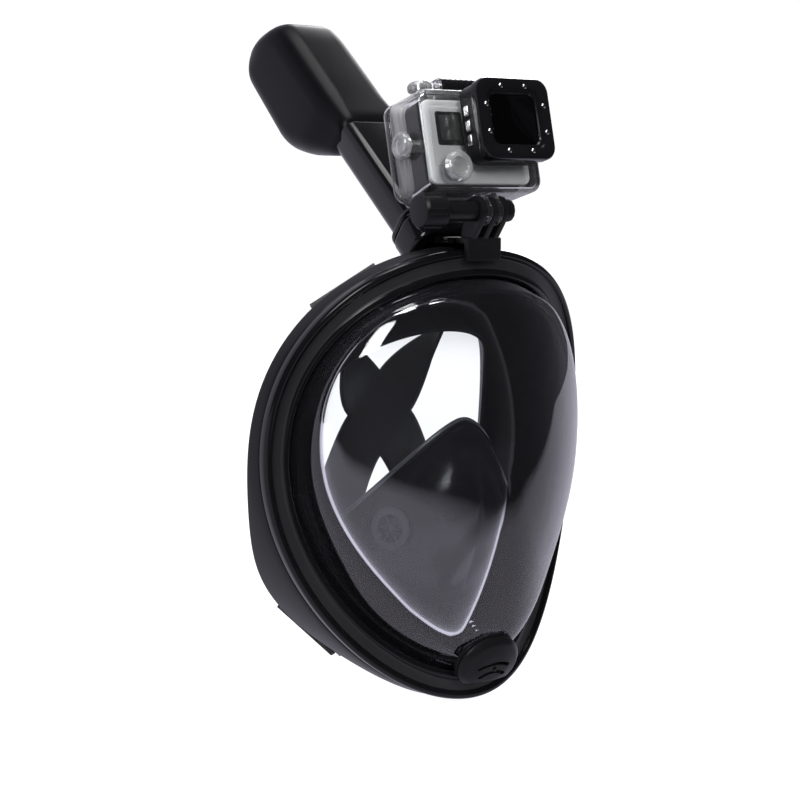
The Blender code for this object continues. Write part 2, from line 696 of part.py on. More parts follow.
def make_case_front():
    wide, high = CASE_HALF_WIDTH, CASE_HALF_HEIGHT
    front = case_box("case_front", (-wide, wide), (CASE_FRONT, CASE_SPLIT), (-high, high), "clear_case")
    rounded(front, 2.5)
    sx, sz = SNOUT
    hx, hz = SNOUT_HALF
    snout = case_box("case_snout", (sx - hx, sx + hx), (SNOUT_FRONT, CASE_FRONT + 3.0), (sz - hz, sz + hz))
    boolean(front, rounded(snout, 2.0), "UNION")
    for k in (-1, 1):
        low = k * PRONG_PITCH / 2 - PRONG_HALF
        outline = prong_outline(((PIVOT[1] - 2.5, -24.0), (PIVOT[1] + 9.0, -24.0)), PIVOT[1:])
        boolean(front, prism(f"case_finger_{k + 1}", outline, low, low + 2 * PRONG_HALF, place=CASE_FRAME), "UNION")
        lug = ((14.0, 19.0), (-19.0, -14.0))[k > 0]
        boolean(front, case_box(f"hinge_lug_{k + 1}", lug, (16.0, 27.6), (-28.6, -24.0)), "UNION")
        stand = ((-13.6, -11.4), (19.4, 21.6))[k > 0]
        boolean(front, case_box(f"latch_stand_{k + 1}", stand, (6.0, 14.0), (24.0, 33.5)), "UNION")
    hollow = case_box("case_hollow", (CASE_WALL - wide, wide - CASE_WALL), (CASE_FRONT + CASE_WALL, CASE_SPLIT + 5.0),
                      (CASE_WALL - high, high - CASE_WALL))
    boolean(front, hollow)
    snout_hollow = case_box("snout_hollow", (sx - hx + CASE_WALL, sx + hx - CASE_WALL),
                            (SNOUT_FRONT + CASE_WALL, CASE_FRONT + 3.0), (sz - hz + CASE_WALL, sz + hz - CASE_WALL - 2.6))
    boolean(front, snout_hollow)
    clear_door = case_box("door_clearance", (-60.0, 60.0), (CASE_SPLIT + 0.4, CASE_BACK + 9.0), (-24.6, 40.0))
    boolean(front, clear_door)
    for name, place, radius in case_bores():
        boolean(front, turned(name, ((radius, -80.0), (radius, 80.0)), place, None, 20))
    drill_case_wall(front)


def case_bores():
    """Bores that run right across the case: tilt screw, door pin and latch pin."""
    across = (1.0, 0.0, 0.0)
    return (("tilt_bore", CASE_FRAME @ axis_frame(PIVOT, across), SCREW_RADIUS + 0.3),
            ("door_bore", CASE_FRAME @ axis_frame((0.0, *DOOR_AXIS), across), 1.5),
            ("latch_bore", CASE_FRAME @ axis_frame((0.0, *LATCH_AXIS), across), 1.5))


def drill_case_wall(front):
    """Holes for the window and for the three buttons' stems."""
    boolean(front, case_turned("window_hole", ((15.4, 10.0), (15.4, 20.0)), *SNOUT))
    boolean(front, case_turned("power_hole", ((3.4, 0.0), (3.4, 8.0)), -19.0, -14.0))
    boolean(front, turned("shutter_hole", ((3.4, 18.0), (3.4, 30.0)), CASE_FRAME @ Matrix.Translation((-23.0, 9.0, 0))))
    side = CASE_FRAME @ axis_frame((0.0, 9.0, 0.0), (-1.0, 0.0, 0.0))
    boolean(front, turned("side_hole", ((3.4, 28.0), (3.4, 38.0)), side))


def make_case_buttons():
    """Stems that reach inside the case, each with a broad cap outside."""
    def button(base, head, radius, tip):
        return ((3.0, base), (3.0, head), (radius, head), (radius, tip - 1.0), (radius - 1.0, tip))
    case_turned("power_button", button(1.5, 6.6, 7.3, 11.5), -19.0, -14.0, "steel")
    turned("shutter_button", button(21.9, 27.2, 6.0, 31.0), CASE_FRAME @ Matrix.Translation((-23.0, 9.0, 0)), "steel")
    side = CASE_FRAME @ axis_frame((0.0, 9.0, 0.0), (-1.0, 0.0, 0.0))
    turned("side_button", button(30.9, 36.2, 6.5, 40.0), side, "steel")


def make_case_door():
    wide, high = CASE_HALF_WIDTH, CASE_HALF_HEIGHT
    door = rounded(case_box("case_door", (-wide, wide), (DOOR_FRONT, CASE_BACK), (-high + 0.8, high), "clear_case"), 1.2)
    boolean(door, case_box("door_lug", (-13.6, 13.6), (DOOR_FRONT + 0.8, 27.6), (-28.6, -20.0)), "UNION")
    for k in (-1, 1):
        reach = (k * 16.5 - 3.2, k * 16.5 + 3.2)
        boolean(door, case_box(f"lug_relief_{k + 1}", reach, (DOOR_FRONT - 1.0, CASE_BACK + 2.0), (-30.0, -22.2)))
    boolean(door, turned("door_pin_hole", ((1.5, -30.0), (1.5, 30.0)),
                         CASE_FRAME @ axis_frame((0.0, *DOOR_AXIS), (1, 0, 0)), None, 20))
    pin = CASE_FRAME @ axis_frame((0.0, *DOOR_AXIS), (1.0, 0.0, 0.0))
    turned("door_pin", ((1.2, -20.0), (1.2, 20.0)), pin, "steel", 12)
    seal_outline = rounded_rectangle(wide - 0.8, high - 1.0, 3.0)
    inner_outline = rounded_rectangle(wide - 2.0, high - 2.2, 2.0)
    rings = [[in_case(x, y, z) for x, z in outline]
             for outline, y in ((seal_outline, 21.3), (seal_outline, 22.1), (inner_outline, 22.1), (inner_outline, 21.3))]
    loft("case_seal", rings, "grey_silicone", closed=True)


def make_case_latch():
    place = CASE_FRAME @ axis_frame((0.0, *LATCH_AXIS), (1.0, 0.0, 0.0))
    barrel = ((3.4, -10.9), (4.2, -10.1), (4.2, 18.1), (3.4, 18.9))
    latch = turned("case_latch", barrel, place, "satin_black")
    arm = case_box("latch_arm", (-9.0, 17.0), (11.0, 30.0), (28.4, 31.4))
    boolean(latch, rounded(arm, 0.9), "UNION")
    boolean(latch, turned("latch_pin_hole", ((1.5, -30.0), (1.5, 30.0)), place, None, 20))
    turned("latch_pin", ((1.2, -13.4), (1.2, 21.4)), place, "steel", 12)


def make_lens_bezel():
    bx, bz = BEZEL_CENTRE
    hx, hz = BEZEL_HALF
    front = SNOUT_FRONT - GAP
    bezel = case_box("window_bezel", (bx - hx, bx + hx), (front - 3.0, front), (bz - hz, bz + hz), "satin_black")
    rounded(bezel, 1.0)
    boolean(bezel, case_turned("bezel_hole", ((13.0, 10.0), (13.0, 30.0)), *SNOUT))
    case_turned("window_glass", ((15.0, 15.0), (15.0, 16.8)), *SNOUT, "clear_lens")
    for k in range(8):
        turn = TAU * (k + 0.5) / 8
        x = bx + BEZEL_SCREW_REACH[0] * math.cos(turn)
        z = bz + BEZEL_SCREW_REACH[1] * math.sin(turn)
        case_turned(f"bezel_screw_{k + 1}", ((1.1, -front + 3.4), (1.1, -front + 4.0)), x, z, "steel", 10)


def make_camera():
    wide, high = BODY_HALF
    body = case_box("camera_body", (-wide, wide), (0.0, 20.6), (-high, high), "camera_silver")
    rounded(body, 2.4)
    barrel = ((10.4, 0.4), (10.4, 9.0), (9.4, 10.4), (8.2, 10.4), (6.0, 8.0))
    case_turned("camera_lens", barrel, *SNOUT, "lens_black")
    case_box("camera_display", (-23.0, -8.6), (-1.2, -0.4), (-1.5, 14.0), "display")


# ---------------------------------------------------------------- assembly

def carry(parent_name, names, pivot=None):
    """Hangs pieces on an empty that stands on their joint."""
    empty = bpy.data.objects.new(parent_name, None)
    empty.location = Vector(pivot) * MM
    empty.empty_display_size = 0.01
    MASK.objects.link(empty)
    bpy.context.view_layer.update()
    for name in names:
        child = bpy.data.objects[name]
        child.parent = empty
        child.matrix_parent_inverse = empty.matrix_world.inverted()


def build():
    frame_top = on_rim(0.0, 0.0, 0.0).z + 1.6 + GAP
    make_ring_stack()
    lens = make_lens()
    make_skirt()
    make_pocket()
    make_cheek_valves()
    make_chin_valve(lens)
    make_frame_screws()
    make_snorkel_base(frame_top)
    make_snorkel_tube()
    make_snorkel_head()
    make_float()
    make_strap_buckles()
    make_head_strap()
    make_camera_mount(frame_top)
    make_thumb_screw()
    make_case_front()
    make_case_buttons()
    make_case_door()
    make_case_latch()
    make_lens_bezel()
    make_camera()
    snorkel = ["snorkel_tube", "snorkel_seal", "snorkel_head_base", "snorkel_head_cap", "float_block", "float_seal"]
    carry("snorkel_axis", snorkel, TUBE_FOOT)
    cased = ["case_front", "case_seal", "window_bezel", "window_glass", "camera_body", "camera_lens",
             "camera_display", "door_pin", "latch_pin", "power_button", "shutter_button", "side_button"]
    cased += [f"bezel_screw_{k + 1}" for k in range(8)]
    carry("camera_tilt_axis", cased, in_case(*PIVOT))
    carry("door_axis", ["case_door"], in_case(0.0, *DOOR_AXIS))
    carry("latch_axis", ["case_latch"], in_case(0.0, *LATCH_AXIS))
    carry("thumb_screw_axis", ["thumb_screw"], in_case(*PIVOT))


clear_scene()
MASK = collection("full_face_snorkel")
CUTTERS = collection("cutters")
CUTTERS.hide_render = True
CASE_FRAME = Matrix.Translation(CASE_ORIGIN) @ Matrix.Rotation(-CASE_TILT, 4, "X")
FINISH = {
    "gloss_black": material("gloss_black", (0.012, 0.012, 0.013), 0.12),
    "satin_black": material("satin_black", (0.02, 0.02, 0.022), 0.42),
    "black_silicone": material("black_silicone", (0.018, 0.018, 0.02), 0.35),
    "grey_silicone": material("grey_silicone", (0.22, 0.22, 0.23), 0.5),
    "grey_plastic": material("grey_plastic", (0.3, 0.3, 0.31), 0.5),
    "webbing": material("webbing", (0.015, 0.015, 0.016), 0.85),
    "clear_lens": material("clear_lens", (0.75, 0.77, 0.78), 0.04, alpha=0.25),
    "clear_case": material("clear_case", (0.85, 0.87, 0.88), 0.08, alpha=0.35),
    "camera_silver": material("camera_silver", (0.42, 0.42, 0.43), 0.4, 0.3),
    "lens_black": material("lens_black", (0.01, 0.01, 0.012), 0.08),
    "display": material("display", (0.25, 0.28, 0.26), 0.25),
    "steel": material("steel", (0.62, 0.62, 0.63), 0.25, 0.9),
}
build()
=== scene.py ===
import json
import math

import bmesh
import bpy
from mathutils import Matrix, Vector


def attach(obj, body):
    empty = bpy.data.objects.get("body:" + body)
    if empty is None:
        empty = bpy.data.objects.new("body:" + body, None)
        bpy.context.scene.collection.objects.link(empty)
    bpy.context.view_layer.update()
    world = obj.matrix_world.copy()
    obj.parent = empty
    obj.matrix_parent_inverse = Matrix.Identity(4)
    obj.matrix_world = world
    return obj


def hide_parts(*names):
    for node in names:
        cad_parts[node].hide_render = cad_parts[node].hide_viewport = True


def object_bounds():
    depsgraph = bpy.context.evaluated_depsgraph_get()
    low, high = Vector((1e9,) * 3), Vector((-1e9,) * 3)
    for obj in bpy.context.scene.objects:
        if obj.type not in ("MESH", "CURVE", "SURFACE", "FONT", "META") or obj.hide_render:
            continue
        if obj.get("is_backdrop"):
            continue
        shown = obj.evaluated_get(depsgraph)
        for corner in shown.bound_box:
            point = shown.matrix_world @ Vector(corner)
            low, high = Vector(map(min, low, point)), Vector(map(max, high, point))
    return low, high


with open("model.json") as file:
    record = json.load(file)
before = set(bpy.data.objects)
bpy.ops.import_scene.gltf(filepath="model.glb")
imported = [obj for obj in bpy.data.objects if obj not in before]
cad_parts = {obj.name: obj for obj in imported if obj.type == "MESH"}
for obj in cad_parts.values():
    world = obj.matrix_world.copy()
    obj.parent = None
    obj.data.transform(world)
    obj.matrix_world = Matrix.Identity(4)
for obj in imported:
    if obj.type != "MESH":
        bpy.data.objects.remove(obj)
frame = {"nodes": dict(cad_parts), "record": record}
CAD_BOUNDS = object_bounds()
MM = 0.001
TAU = 2 * math.pi


# ------------------------------------------------------------------ materials

class Nodes:
    """Short hand for building a node tree."""

    def __init__(self, name):
        self.mat = bpy.data.materials.new(name)
        self.mat.use_nodes = True
        self.tree = self.mat.node_tree
        self.tree.nodes.clear()
        self.out = self.tree.nodes.new("ShaderNodeOutputMaterial")

    def add(self, kind, links=None, **values):
        node = self.tree.nodes.new("ShaderNode" + kind)
        for key, value in values.items():
            if hasattr(node, key):
                setattr(node, key, value)
            else:
                node.inputs[key.replace("_", " ")].default_value = value
        for key, source in (links or {}).items():
            self.tree.links.new(source, node.inputs[key])
        return node

    def done(self, shader):
        self.tree.links.new(shader, self.out.inputs["Surface"])
        return self.mat


def moulded(name, colour, rough, spread=0.06, grain=900.0, bump=0.02, metallic=0.0, coat=0.0, wear=0.0,
            shine=0.5):
    """Moulded plastic or rubber: fine grain, cloudy roughness and a little scuffing."""
    n = Nodes(name)
    place = n.add("TexCoord").outputs["Object"]
    cloud = n.add("TexNoise", {"Vector": place}, Scale=28.0, Detail=4.0)
    fine = n.add("TexNoise", {"Vector": place}, Scale=grain, Detail=2.0)
    ramp = n.add("MapRange", {"Value": cloud.outputs["Fac"]})
    ramp.inputs["To Min"].default_value = rough - spread
    ramp.inputs["To Max"].default_value = rough + spread
    lift = n.add("Bump", {"Height": fine.outputs["Fac"]}, Strength=bump, Distance=0.00012)
    bsdf = n.add("BsdfPrincipled", {"Roughness": ramp.outputs["Result"], "Normal": lift.outputs["Normal"]},
                 Metallic=metallic)
    bsdf.inputs["Coat Weight"].default_value = coat
    bsdf.inputs["Coat Roughness"].default_value = 0.04
    bsdf.inputs["Specular IOR Level"].default_value = shine
    if wear > 0:
        mix = n.add("MixRGB", {"Fac": cloud.outputs["Fac"]})
        mix.inputs["Color1"].default_value = (*colour, 1)
        mix.inputs["Color2"].default_value = (*[min(1.0, c * (1 + wear) + 0.004) for c in colour], 1)
        n.tree.links.new(mix.outputs["Color"], bsdf.inputs["Base Color"])
    else:
        bsdf.inputs["Base Color"].default_value = (*colour, 1)
    return n.done(bsdf.outputs["BSDF"])


def clear_plastic(name, tint, gloss_rough=0.02, milk=0.04, ior=1.5, veil=0.0, shade=None):
    """A thin clear wall: light goes straight through. It mirrors and clouds at grazing angles."""
    n = Nodes(name)
    place = n.add("TexCoord").outputs["Object"]
    haze = n.add("TexNoise", {"Vector": place}, Scale=14.0, Detail=3.0)
    fresnel = n.add("Fresnel", IOR=ior)
    through = n.add("BsdfTransparent", Color=(*tint, 1))
    mirror = n.add("BsdfGlossy", Roughness=gloss_rough, Color=(1, 1, 1, 1))
    wall = n.add("MixShader", {"Fac": fresnel.outputs["Fac"]})
    n.tree.links.new(through.outputs["BSDF"], wall.inputs[1])
    n.tree.links.new(mirror.outputs["BSDF"], wall.inputs[2])
    body = n.add("BsdfDiffuse", Color=(*(shade or [min(1, 0.2 + c * 0.7) for c in tint]), 1))
    share = n.add("MapRange", {"Value": haze.outputs["Fac"]})
    share.inputs["To Min"].default_value = milk * 0.6
    share.inputs["To Max"].default_value = milk * 1.4
    facing = n.add("LayerWeight", Blend=0.5)
    steep = n.add("Math", {0: facing.outputs["Facing"]}, operation="POWER")
    steep.inputs[1].default_value = 5.0
    grazing = n.add("Math", {0: steep.outputs["Value"]}, operation="MULTIPLY")
    grazing.inputs[1].default_value = veil
    total = n.add("Math", {0: share.outputs["Result"], 1: grazing.outputs["Value"]}, operation="ADD")
    mix = n.add("MixShader", {"Fac": total.outputs["Value"]})
    n.tree.links.new(wall.outputs["Shader"], mix.inputs[1])
    n.tree.links.new(body.outputs["BSDF"], mix.inputs[2])
    return n.done(mix.outputs["Shader"])


def woven(name, colour):
    """Stretch webbing: ribs along the strap and a fine cross weave, from the strap's own UV."""
    n = Nodes(name)
    uv = n.add("TexCoord").outputs["UV"]
    ribs = n.add("TexWave", {"Vector": uv}, Scale=11.0, Distortion=0.0)
    ribs.bands_direction = "X"
    cross = n.add("TexWave", {"Vector": uv}, Scale=60.0, Distortion=0.4, Detail=1.0)
    cross.bands_direction = "Y"
    fuzz = n.add("TexNoise", {"Vector": n.add("TexCoord").outputs["Object"]}, Scale=1600.0, Detail=2.0)
    sums = n.add("Math", {0: ribs.outputs["Fac"], 1: cross.outputs["Fac"]}, operation="MULTIPLY")
    total = n.add("Math", {0: sums.outputs["Value"], 1: fuzz.outputs["Fac"]}, operation="ADD")
    lift = n.add("Bump", {"Height": total.outputs["Value"]}, Strength=0.6, Distance=0.0005)
    tone = n.add("MixRGB", {"Fac": total.outputs["Value"]})
    tone.inputs["Color1"].default_value = (*[c * 0.6 for c in colour], 1)
    tone.inputs["Color2"].default_value = (*[c * 1.9 for c in colour], 1)
    bsdf = n.add("BsdfPrincipled", {"Base Color": tone.outputs["Color"], "Normal": lift.outputs["Normal"]},
                 Roughness=0.85)
    bsdf.inputs["Sheen Weight"].default_value = 0.25
    return n.done(bsdf.outputs["BSDF"])


GLOSS = moulded("gloss_black_plastic", (0.004, 0.004, 0.005), 0.13, 0.04, 500.0, 0.012, coat=0.15, wear=0.3,
                shine=0.15)
BAND = moulded("dark_grey_band", (0.02, 0.02, 0.022), 0.34, 0.05, 1200.0, 0.05, wear=0.2, shine=0.2)
SATIN = moulded("satin_black_plastic", (0.006, 0.006, 0.007), 0.36, 0.06, 1200.0, 0.08, wear=0.3, shine=0.15)
SILICONE = moulded("black_silicone", (0.006, 0.006, 0.007), 0.17, 0.05, 260.0, 0.004, wear=0.4, shine=0.35)
SKIRT = moulded("skirt_silicone", (0.01, 0.01, 0.011), 0.42, 0.06, 260.0, 0.006, wear=0.4, shine=0.2)
# The pocket's rim tube is a lighter grey than the black silicone pocket: a painted highlight along the
# pocket's edge.
EDGE_PAINTED_HIGHLIGHT = moulded("pocket_edge_painted_highlight", (0.08, 0.08, 0.086), 0.24, 0.03, 260.0, 0.0, shine=1.0)
# The cheek valves are a lighter grey than the black parts round them: a painted highlight on the valve rings,
# hubs and spokes.
VALVE_PAINTED_HIGHLIGHT = moulded("valve_grey_painted_highlight", (0.06, 0.06, 0.066), 0.28, 0.04, 700.0, 0.02)
GREY_SILICONE = moulded("grey_silicone", (0.2, 0.2, 0.21), 0.5, 0.05, 700.0, 0.03)
GREY_PLASTIC = moulded("grey_plastic", (0.28, 0.28, 0.29), 0.5, 0.05, 900.0, 0.05)
SILVER = moulded("camera_silver", (0.9, 0.9, 0.893), 0.4, 0.05, 2600.0, 0.15)
STEEL = moulded("brushed_steel", (0.62, 0.62, 0.63), 0.24, 0.06, 1800.0, 0.03, metallic=1.0)
LENS_BLACK = moulded("lens_black", (0.006, 0.006, 0.007), 0.08, 0.02, 400.0, 0.0, coat=1.0)
DISPLAY = moulded("display_glass", (0.16, 0.17, 0.165), 0.12, 0.02, 400.0, 0.0, coat=1.0)
WEBBING = woven("stretch_webbing", (0.011, 0.011, 0.012))
LENS_TINT = clear_plastic("lens_window", (0.3, 0.31, 0.34), 0.01, 0.0, 1.6)
SEAL_WHITE = moulded("pale_seal", (0.55, 0.55, 0.56), 0.45, 0.05, 900.0, 0.02)
SCREEN = moulded("screen", (0.06, 0.066, 0.063), 0.35, 0.03, 900.0, 0.02, shine=0.2)
VISOR = clear_plastic("visor_polycarbonate", (0.9, 0.91, 0.93), 0.012, 0.006, 1.6, 0.25, (0.6, 0.58, 0.68))
CASE = clear_plastic("case_polycarbonate", (0.975, 0.98, 0.985), 0.03, 0.01, 1.45, 0.55, (0.95, 0.95, 0.97))
GLASS = clear_plastic("window_glass", (0.8, 0.82, 0.86), 0.01, 0.0, 1.55)


# ------------------------------------------------------------------ mesh helpers

def made_object(name, mesh_data, material, body, nodes=(), smooth=50):
    """A millimetre bmesh becomes a piece that rides on a CAD body and stands for its nodes."""
    mesh_data.normal_update()
    bmesh.ops.recalc_face_normals(mesh_data, faces=mesh_data.faces)
    bmesh.ops.scale(mesh_data, vec=(MM, MM, MM), verts=mesh_data.verts)
    mesh = bpy.data.meshes.new(name)
    mesh_data.to_mesh(mesh)
    mesh_data.free()
    for one in (material if isinstance(material, (list, tuple)) else [material]):
        mesh.materials.append(one)
    mesh.shade_smooth()
    mesh.set_sharp_from_angle(angle=math.radians(smooth))
    obj = bpy.data.objects.new(name, mesh)
    bpy.context.scene.collection.objects.link(obj)
    if body:
        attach(obj, body)
    if nodes:
        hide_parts(*nodes)
    return obj


def grid_faces(mesh_data, rows, around_rows=False, around=False, index=None):
    """Quads between rows of points; either direction can close on itself."""
    verts = [[mesh_data.verts.new(p) for p in row] for row in rows]
    count, span = len(verts), len(verts[0])
    for i in range(count if around_rows else count - 1):
        first, second = verts[i], verts[(i + 1) % count]
        for j in range(span if around else span - 1):
            k = (j + 1) % span
            face = mesh_data.faces.new((first[j], first[k], second[k], second[j]))
            if index is not None:
                face.material_index = index(j)
    return verts


def soften(outline, radius, steps=4):
    """Rounds each corner of a closed flat outline by up to radius."""
    made = []
    count = len(outline)
    for i in range(count):
        before, here, after = (Vector(outline[(i + k) % count]) for k in (-1, 0, 1))
        reach = min(radius, 0.45 * (here - before).length, 0.45 * (after - here).length)
        start = here + (before - here).normalized() * reach
        end = here + (after - here).normalized() * reach
        for k in range(steps + 1):
            q = k / steps
            made.append(start * (1 - q) ** 2 + here * 2 * q * (1 - q) + end * q * q)
    return made


def catmull(points, steps):
    points = [Vector(p) for p in points]
    ends = [points[0] * 2 - points[1], *points, points[-1] * 2 - points[-2]]
    made = []
    for i in range(1, len(ends) - 2):
        a, b, c, d = ends[i - 1:i + 3]
        for k in range(steps):
            q = k / steps
            made.append((b * 2 + (c - a) * q + (a * 2 - b * 5 + c * 4 - d) * q * q
                         + (b * 3 - a - c * 3 + d) * q ** 3) * 0.5)
    made.append(points[-1])
    return made


def thicken(obj, thickness, offset=-1.0):
    made = obj.modifiers.new("Thickness", "SOLIDIFY")
    made.thickness = thickness * MM
    made.offset = offset
    made.use_even_offset = False
    return obj


def rounded(obj, width, segments=3, angle=30):
    made = obj.modifiers.new("Rounding", "BEVEL")
    made.width = width * MM
    made.segments = segments
    made.limit_method = "ANGLE"
    made.angle_limit = math.radians(angle)
    made.harden_normals = False
    return obj


def cut(obj, cutter, operation="DIFFERENCE"):
    made = obj.modifiers.new("Cut", "BOOLEAN")
    made.operation = operation
    made.object = cutter
    made.solver = "EXACT"
    return obj


def apply_all(obj):
    """Bakes the modifiers, then drops their cutters."""
    cutters = [m.object for m in obj.modifiers if m.type == "BOOLEAN"]
    bpy.context.view_layer.update()
    evaluated = obj.evaluated_get(bpy.context.evaluated_depsgraph_get())
    mesh = bpy.data.meshes.new_from_object(evaluated)
    obj.modifiers.clear()
    obj.data = mesh
    mesh.shade_smooth()
    mesh.set_sharp_from_angle(angle=math.radians(35))
    for cutter in cutters:
        bpy.data.objects.remove(cutter)
    return obj


def tool(name, mesh_data):
    obj = made_object(name, mesh_data, [], None)
    obj.hide_render = True
    return obj


def turned_mesh(profile, place, steps=64, closed=False):
    """A bmesh of revolution about local Z from (radius, height) pairs; closed profiles make a ring."""
    mesh_data = bmesh.new()
    rows = [[place @ Vector((r * math.cos(TAU * k / steps), r * math.sin(TAU * k / steps), h))
             for k in range(steps)] for r, h in profile]
    verts = grid_faces(mesh_data, rows, around_rows=closed, around=True)
    if not closed:
        mesh_data.faces.new(verts[0])
        mesh_data.faces.new(verts[-1])
    return mesh_data


def box_mesh(low, high, place=None):
    mesh_data = bmesh.new()
    bmesh.ops.create_cube(mesh_data, size=1.0)
    low, high = Vector(low), Vector(high)
    bmesh.ops.scale(mesh_data, vec=high - low, verts=mesh_data.verts)
    bmesh.ops.translate(mesh_data, vec=(low + high) / 2, verts=mesh_data.verts)
    if place is not None:
        mesh_data.transform(place)
    return mesh_data


def axis_frame(origin, direction, up=(0.0, 0.0, 1.0)):
    z = Vector(direction).normalized()
    x = Vector(up).cross(z)
    x = x.normalized() if x.length > 1e-6 else Vector((1.0, 0.0, 0.0))
    made = Matrix((x, z.cross(x), z)).transposed().to_4x4()
    made.translation = Vector(origin)
    return made


# ------------------------------------------------------------------ rim, trim ring and frame

RIM_HALF_WIDTH, RIM_HALF_HEIGHT = 93.0, 117.7
EAR_ANGLE, EAR_SPREAD, EAR_EXTRA_DEPTH = 118, 24, 21.0
FRAME_BACK, FRAME_WALL = -14.0, 2.6
LENS_FLANGE_FRONT, LENS_THICKNESS = -3.6, 2.2


def rim_point(t):
    x = RIM_HALF_WIDTH * (math.sin(t) + 0.071 * math.sin(2 * t) - 0.033 * math.sin(3 * t))
    y = -18.4 + 0.4 * math.cos(t) - 20.4 * math.cos(2 * t) + 1.07 * math.cos(4 * t)
    z = RIM_HALF_HEIGHT * (math.cos(t) - 0.041 * math.cos(3 * t))
    return Vector((x, y, z))


def rim_outward(t):
    ahead = rim_point(t + 0.01) - rim_point(t - 0.01)
    return Vector((-ahead.z, 0.0, ahead.x)).normalized()


def on_rim(t, u, v):
    return rim_point(t) + rim_outward(t) * u + Vector((0.0, -v, 0.0))


def half_angle(t):
    degrees = math.degrees(t) % 360
    return min(degrees, 360 - degrees)


def ear(t):
    away = (half_angle(t) - EAR_ANGLE) / EAR_SPREAD
    return math.exp(-away * away * 1.6)


STEPS = 320
ANGLES = [TAU * k / STEPS for k in range(STEPS)]


def sweep(name, section, material, body, nodes, index=None):
    mesh_data = bmesh.new()
    grid_faces(mesh_data, [[on_rim(t, *p) for p in section(t)] for t in ANGLES], True, True, index)
    return made_object(name, mesh_data, material, body, nodes)


TRIM = soften(((0.0, -6.0), (0.0, -1.0), (-1.1, 0.9), (-3.2, 1.0), (-4.3, -0.9), (-9.6, -1.1),
               (-10.6, 0.4), (-12.8, 0.5), (-14.0, -0.9), (-14.0, -3.2), (-2.6, -3.2), (-2.6, -6.0)), 0.9, 3)
BAND_LOW, BAND_HIGH = 4 * 4 + 2, 5 * 4 + 2
sweep("trim_ring", lambda t: TRIM, [GLOSS, BAND], "mask", ["front_trim_ring"],
      lambda j: 1 if BAND_LOW <= j <= BAND_HIGH else 0)


def frame_section(t):
    back = FRAME_BACK - EAR_EXTRA_DEPTH * ear(t)
    flare = 1.5 + 3.0 * ear(t)
    return soften(((0.0, -6.4), (0.9, -11.0), (flare, back), (flare - FRAME_WALL, back), (-1.7, FRAME_BACK),
                   (-12.4, FRAME_BACK), (-12.4, -11.6), (-FRAME_WALL, -11.6), (-FRAME_WALL, -6.4)), 0.8, 3)


SHELL = moulded("frame_satin", (0.01, 0.01, 0.012), 0.3, 0.06, 1200.0, 0.08, wear=0.3, shine=0.15)
sweep("frame_shell", frame_section, SHELL, "mask", ["rear_frame"])

# ------------------------------------------------------------------ visor

CREASE = ((0, -22.0, 9.0), (40, -16.5, 13.0), (90, -18.5, 25.0), (130, -29.0, 25.0), (180, -24.0, 9.0))
APEX = Vector((0.0, -66.0, 6.0))


def smooth_keys(keys, angle):
    """Catmull-Rom between keyed angles, mirrored past both ends."""
    full = [(-keys[1][0], *keys[1][1:]), *keys, (360 - keys[-2][0], *keys[-2][1:])]
    for i in range(1, len(full) - 2):
        a, b, c, d = full[i - 1:i + 3]
        if b[0] <= angle <= c[0]:
            q = (angle - b[0]) / (c[0] - b[0])
            made = []
            for k in (1, 2):
                m0 = (c[k] - a[k]) / (c[0] - a[0]) * (c[0] - b[0])
                m1 = (d[k] - b[k]) / (d[0] - b[0]) * (c[0] - b[0])
                made.append(b[k] * (2 * q ** 3 - 3 * q * q + 1) + m0 * (q ** 3 - 2 * q * q + q)
                            + c[k] * (3 * q * q - 2 * q ** 3) + m1 * (q ** 3 - q * q))
            return made
    return list(full[-2][1:])


def lens_column(t):
    foot = on_rim(t, -14.4, LENS_FLANGE_FRONT)
    crease = on_rim(t, *smooth_keys(CREASE, half_angle(t)))

    def window(share):
        flat = APEX.lerp(crease, share)
        flat.y = APEX.y + (crease.y - APEX.y) * share * share
        return flat
    start, end = foot.lerp(crease, 0.72), window(0.9)
    line = [on_rim(t, -4.0, LENS_FLANGE_FRONT), foot] + [foot.lerp(start, q / 5) for q in range(1, 5)]
    for k in range(11):
        q = k / 10
        line.append(start * (1 - q) ** 2 + crease * 2 * q * (1 - q) + end * q * q)
    return line + [window(0.9 * (1 - k / 26)) for k in range(1, 26)]


def make_visor():
    mesh_data = bmesh.new()
    rows = list(map(list, zip(*[lens_column(t) for t in ANGLES])))
    verts = grid_faces(mesh_data, rows, around=True)
    tip = mesh_data.verts.new(APEX)
    for j in range(STEPS):
        mesh_data.faces.new((verts[-1][j], verts[-1][(j + 1) % STEPS], tip))
    visor = made_object("visor", mesh_data, VISOR, "mask", ["visor_lens"], 80)
    thicken(visor, LENS_THICKNESS)
    cut(visor, tool("visor_cut", turned_mesh(((15.1, -0.4), (15.1, 30.0)), CHIN)))
    cut(visor, tool("visor_port", turned_mesh(((9.5, -14.0), (9.5, 12.0)), CHIN)))


CHIN_CENTRE, CHIN_TILT, CHIN_STRETCH = (0.0, -45.0, -90.3), math.radians(20), 1.22
CHIN_OUT = Vector((0.0, -math.cos(CHIN_TILT), -math.sin(CHIN_TILT)))
CHIN = axis_frame(CHIN_CENTRE, CHIN_OUT) @ Matrix.Scale(CHIN_STRETCH, 4, (1, 0, 0))
CHIN_SILL = -100.6
make_visor()

# ------------------------------------------------------------------ skirt and pocket

SKIRT_PATH = ((-4.0, -8.7), (-12.6, -8.7), (-14.4, -12.0), (-14.9, -30.0), (-19.0, -40.0),
              (-26.0, -44.0), (-34.0, -41.5), (-42.0, -29.0))


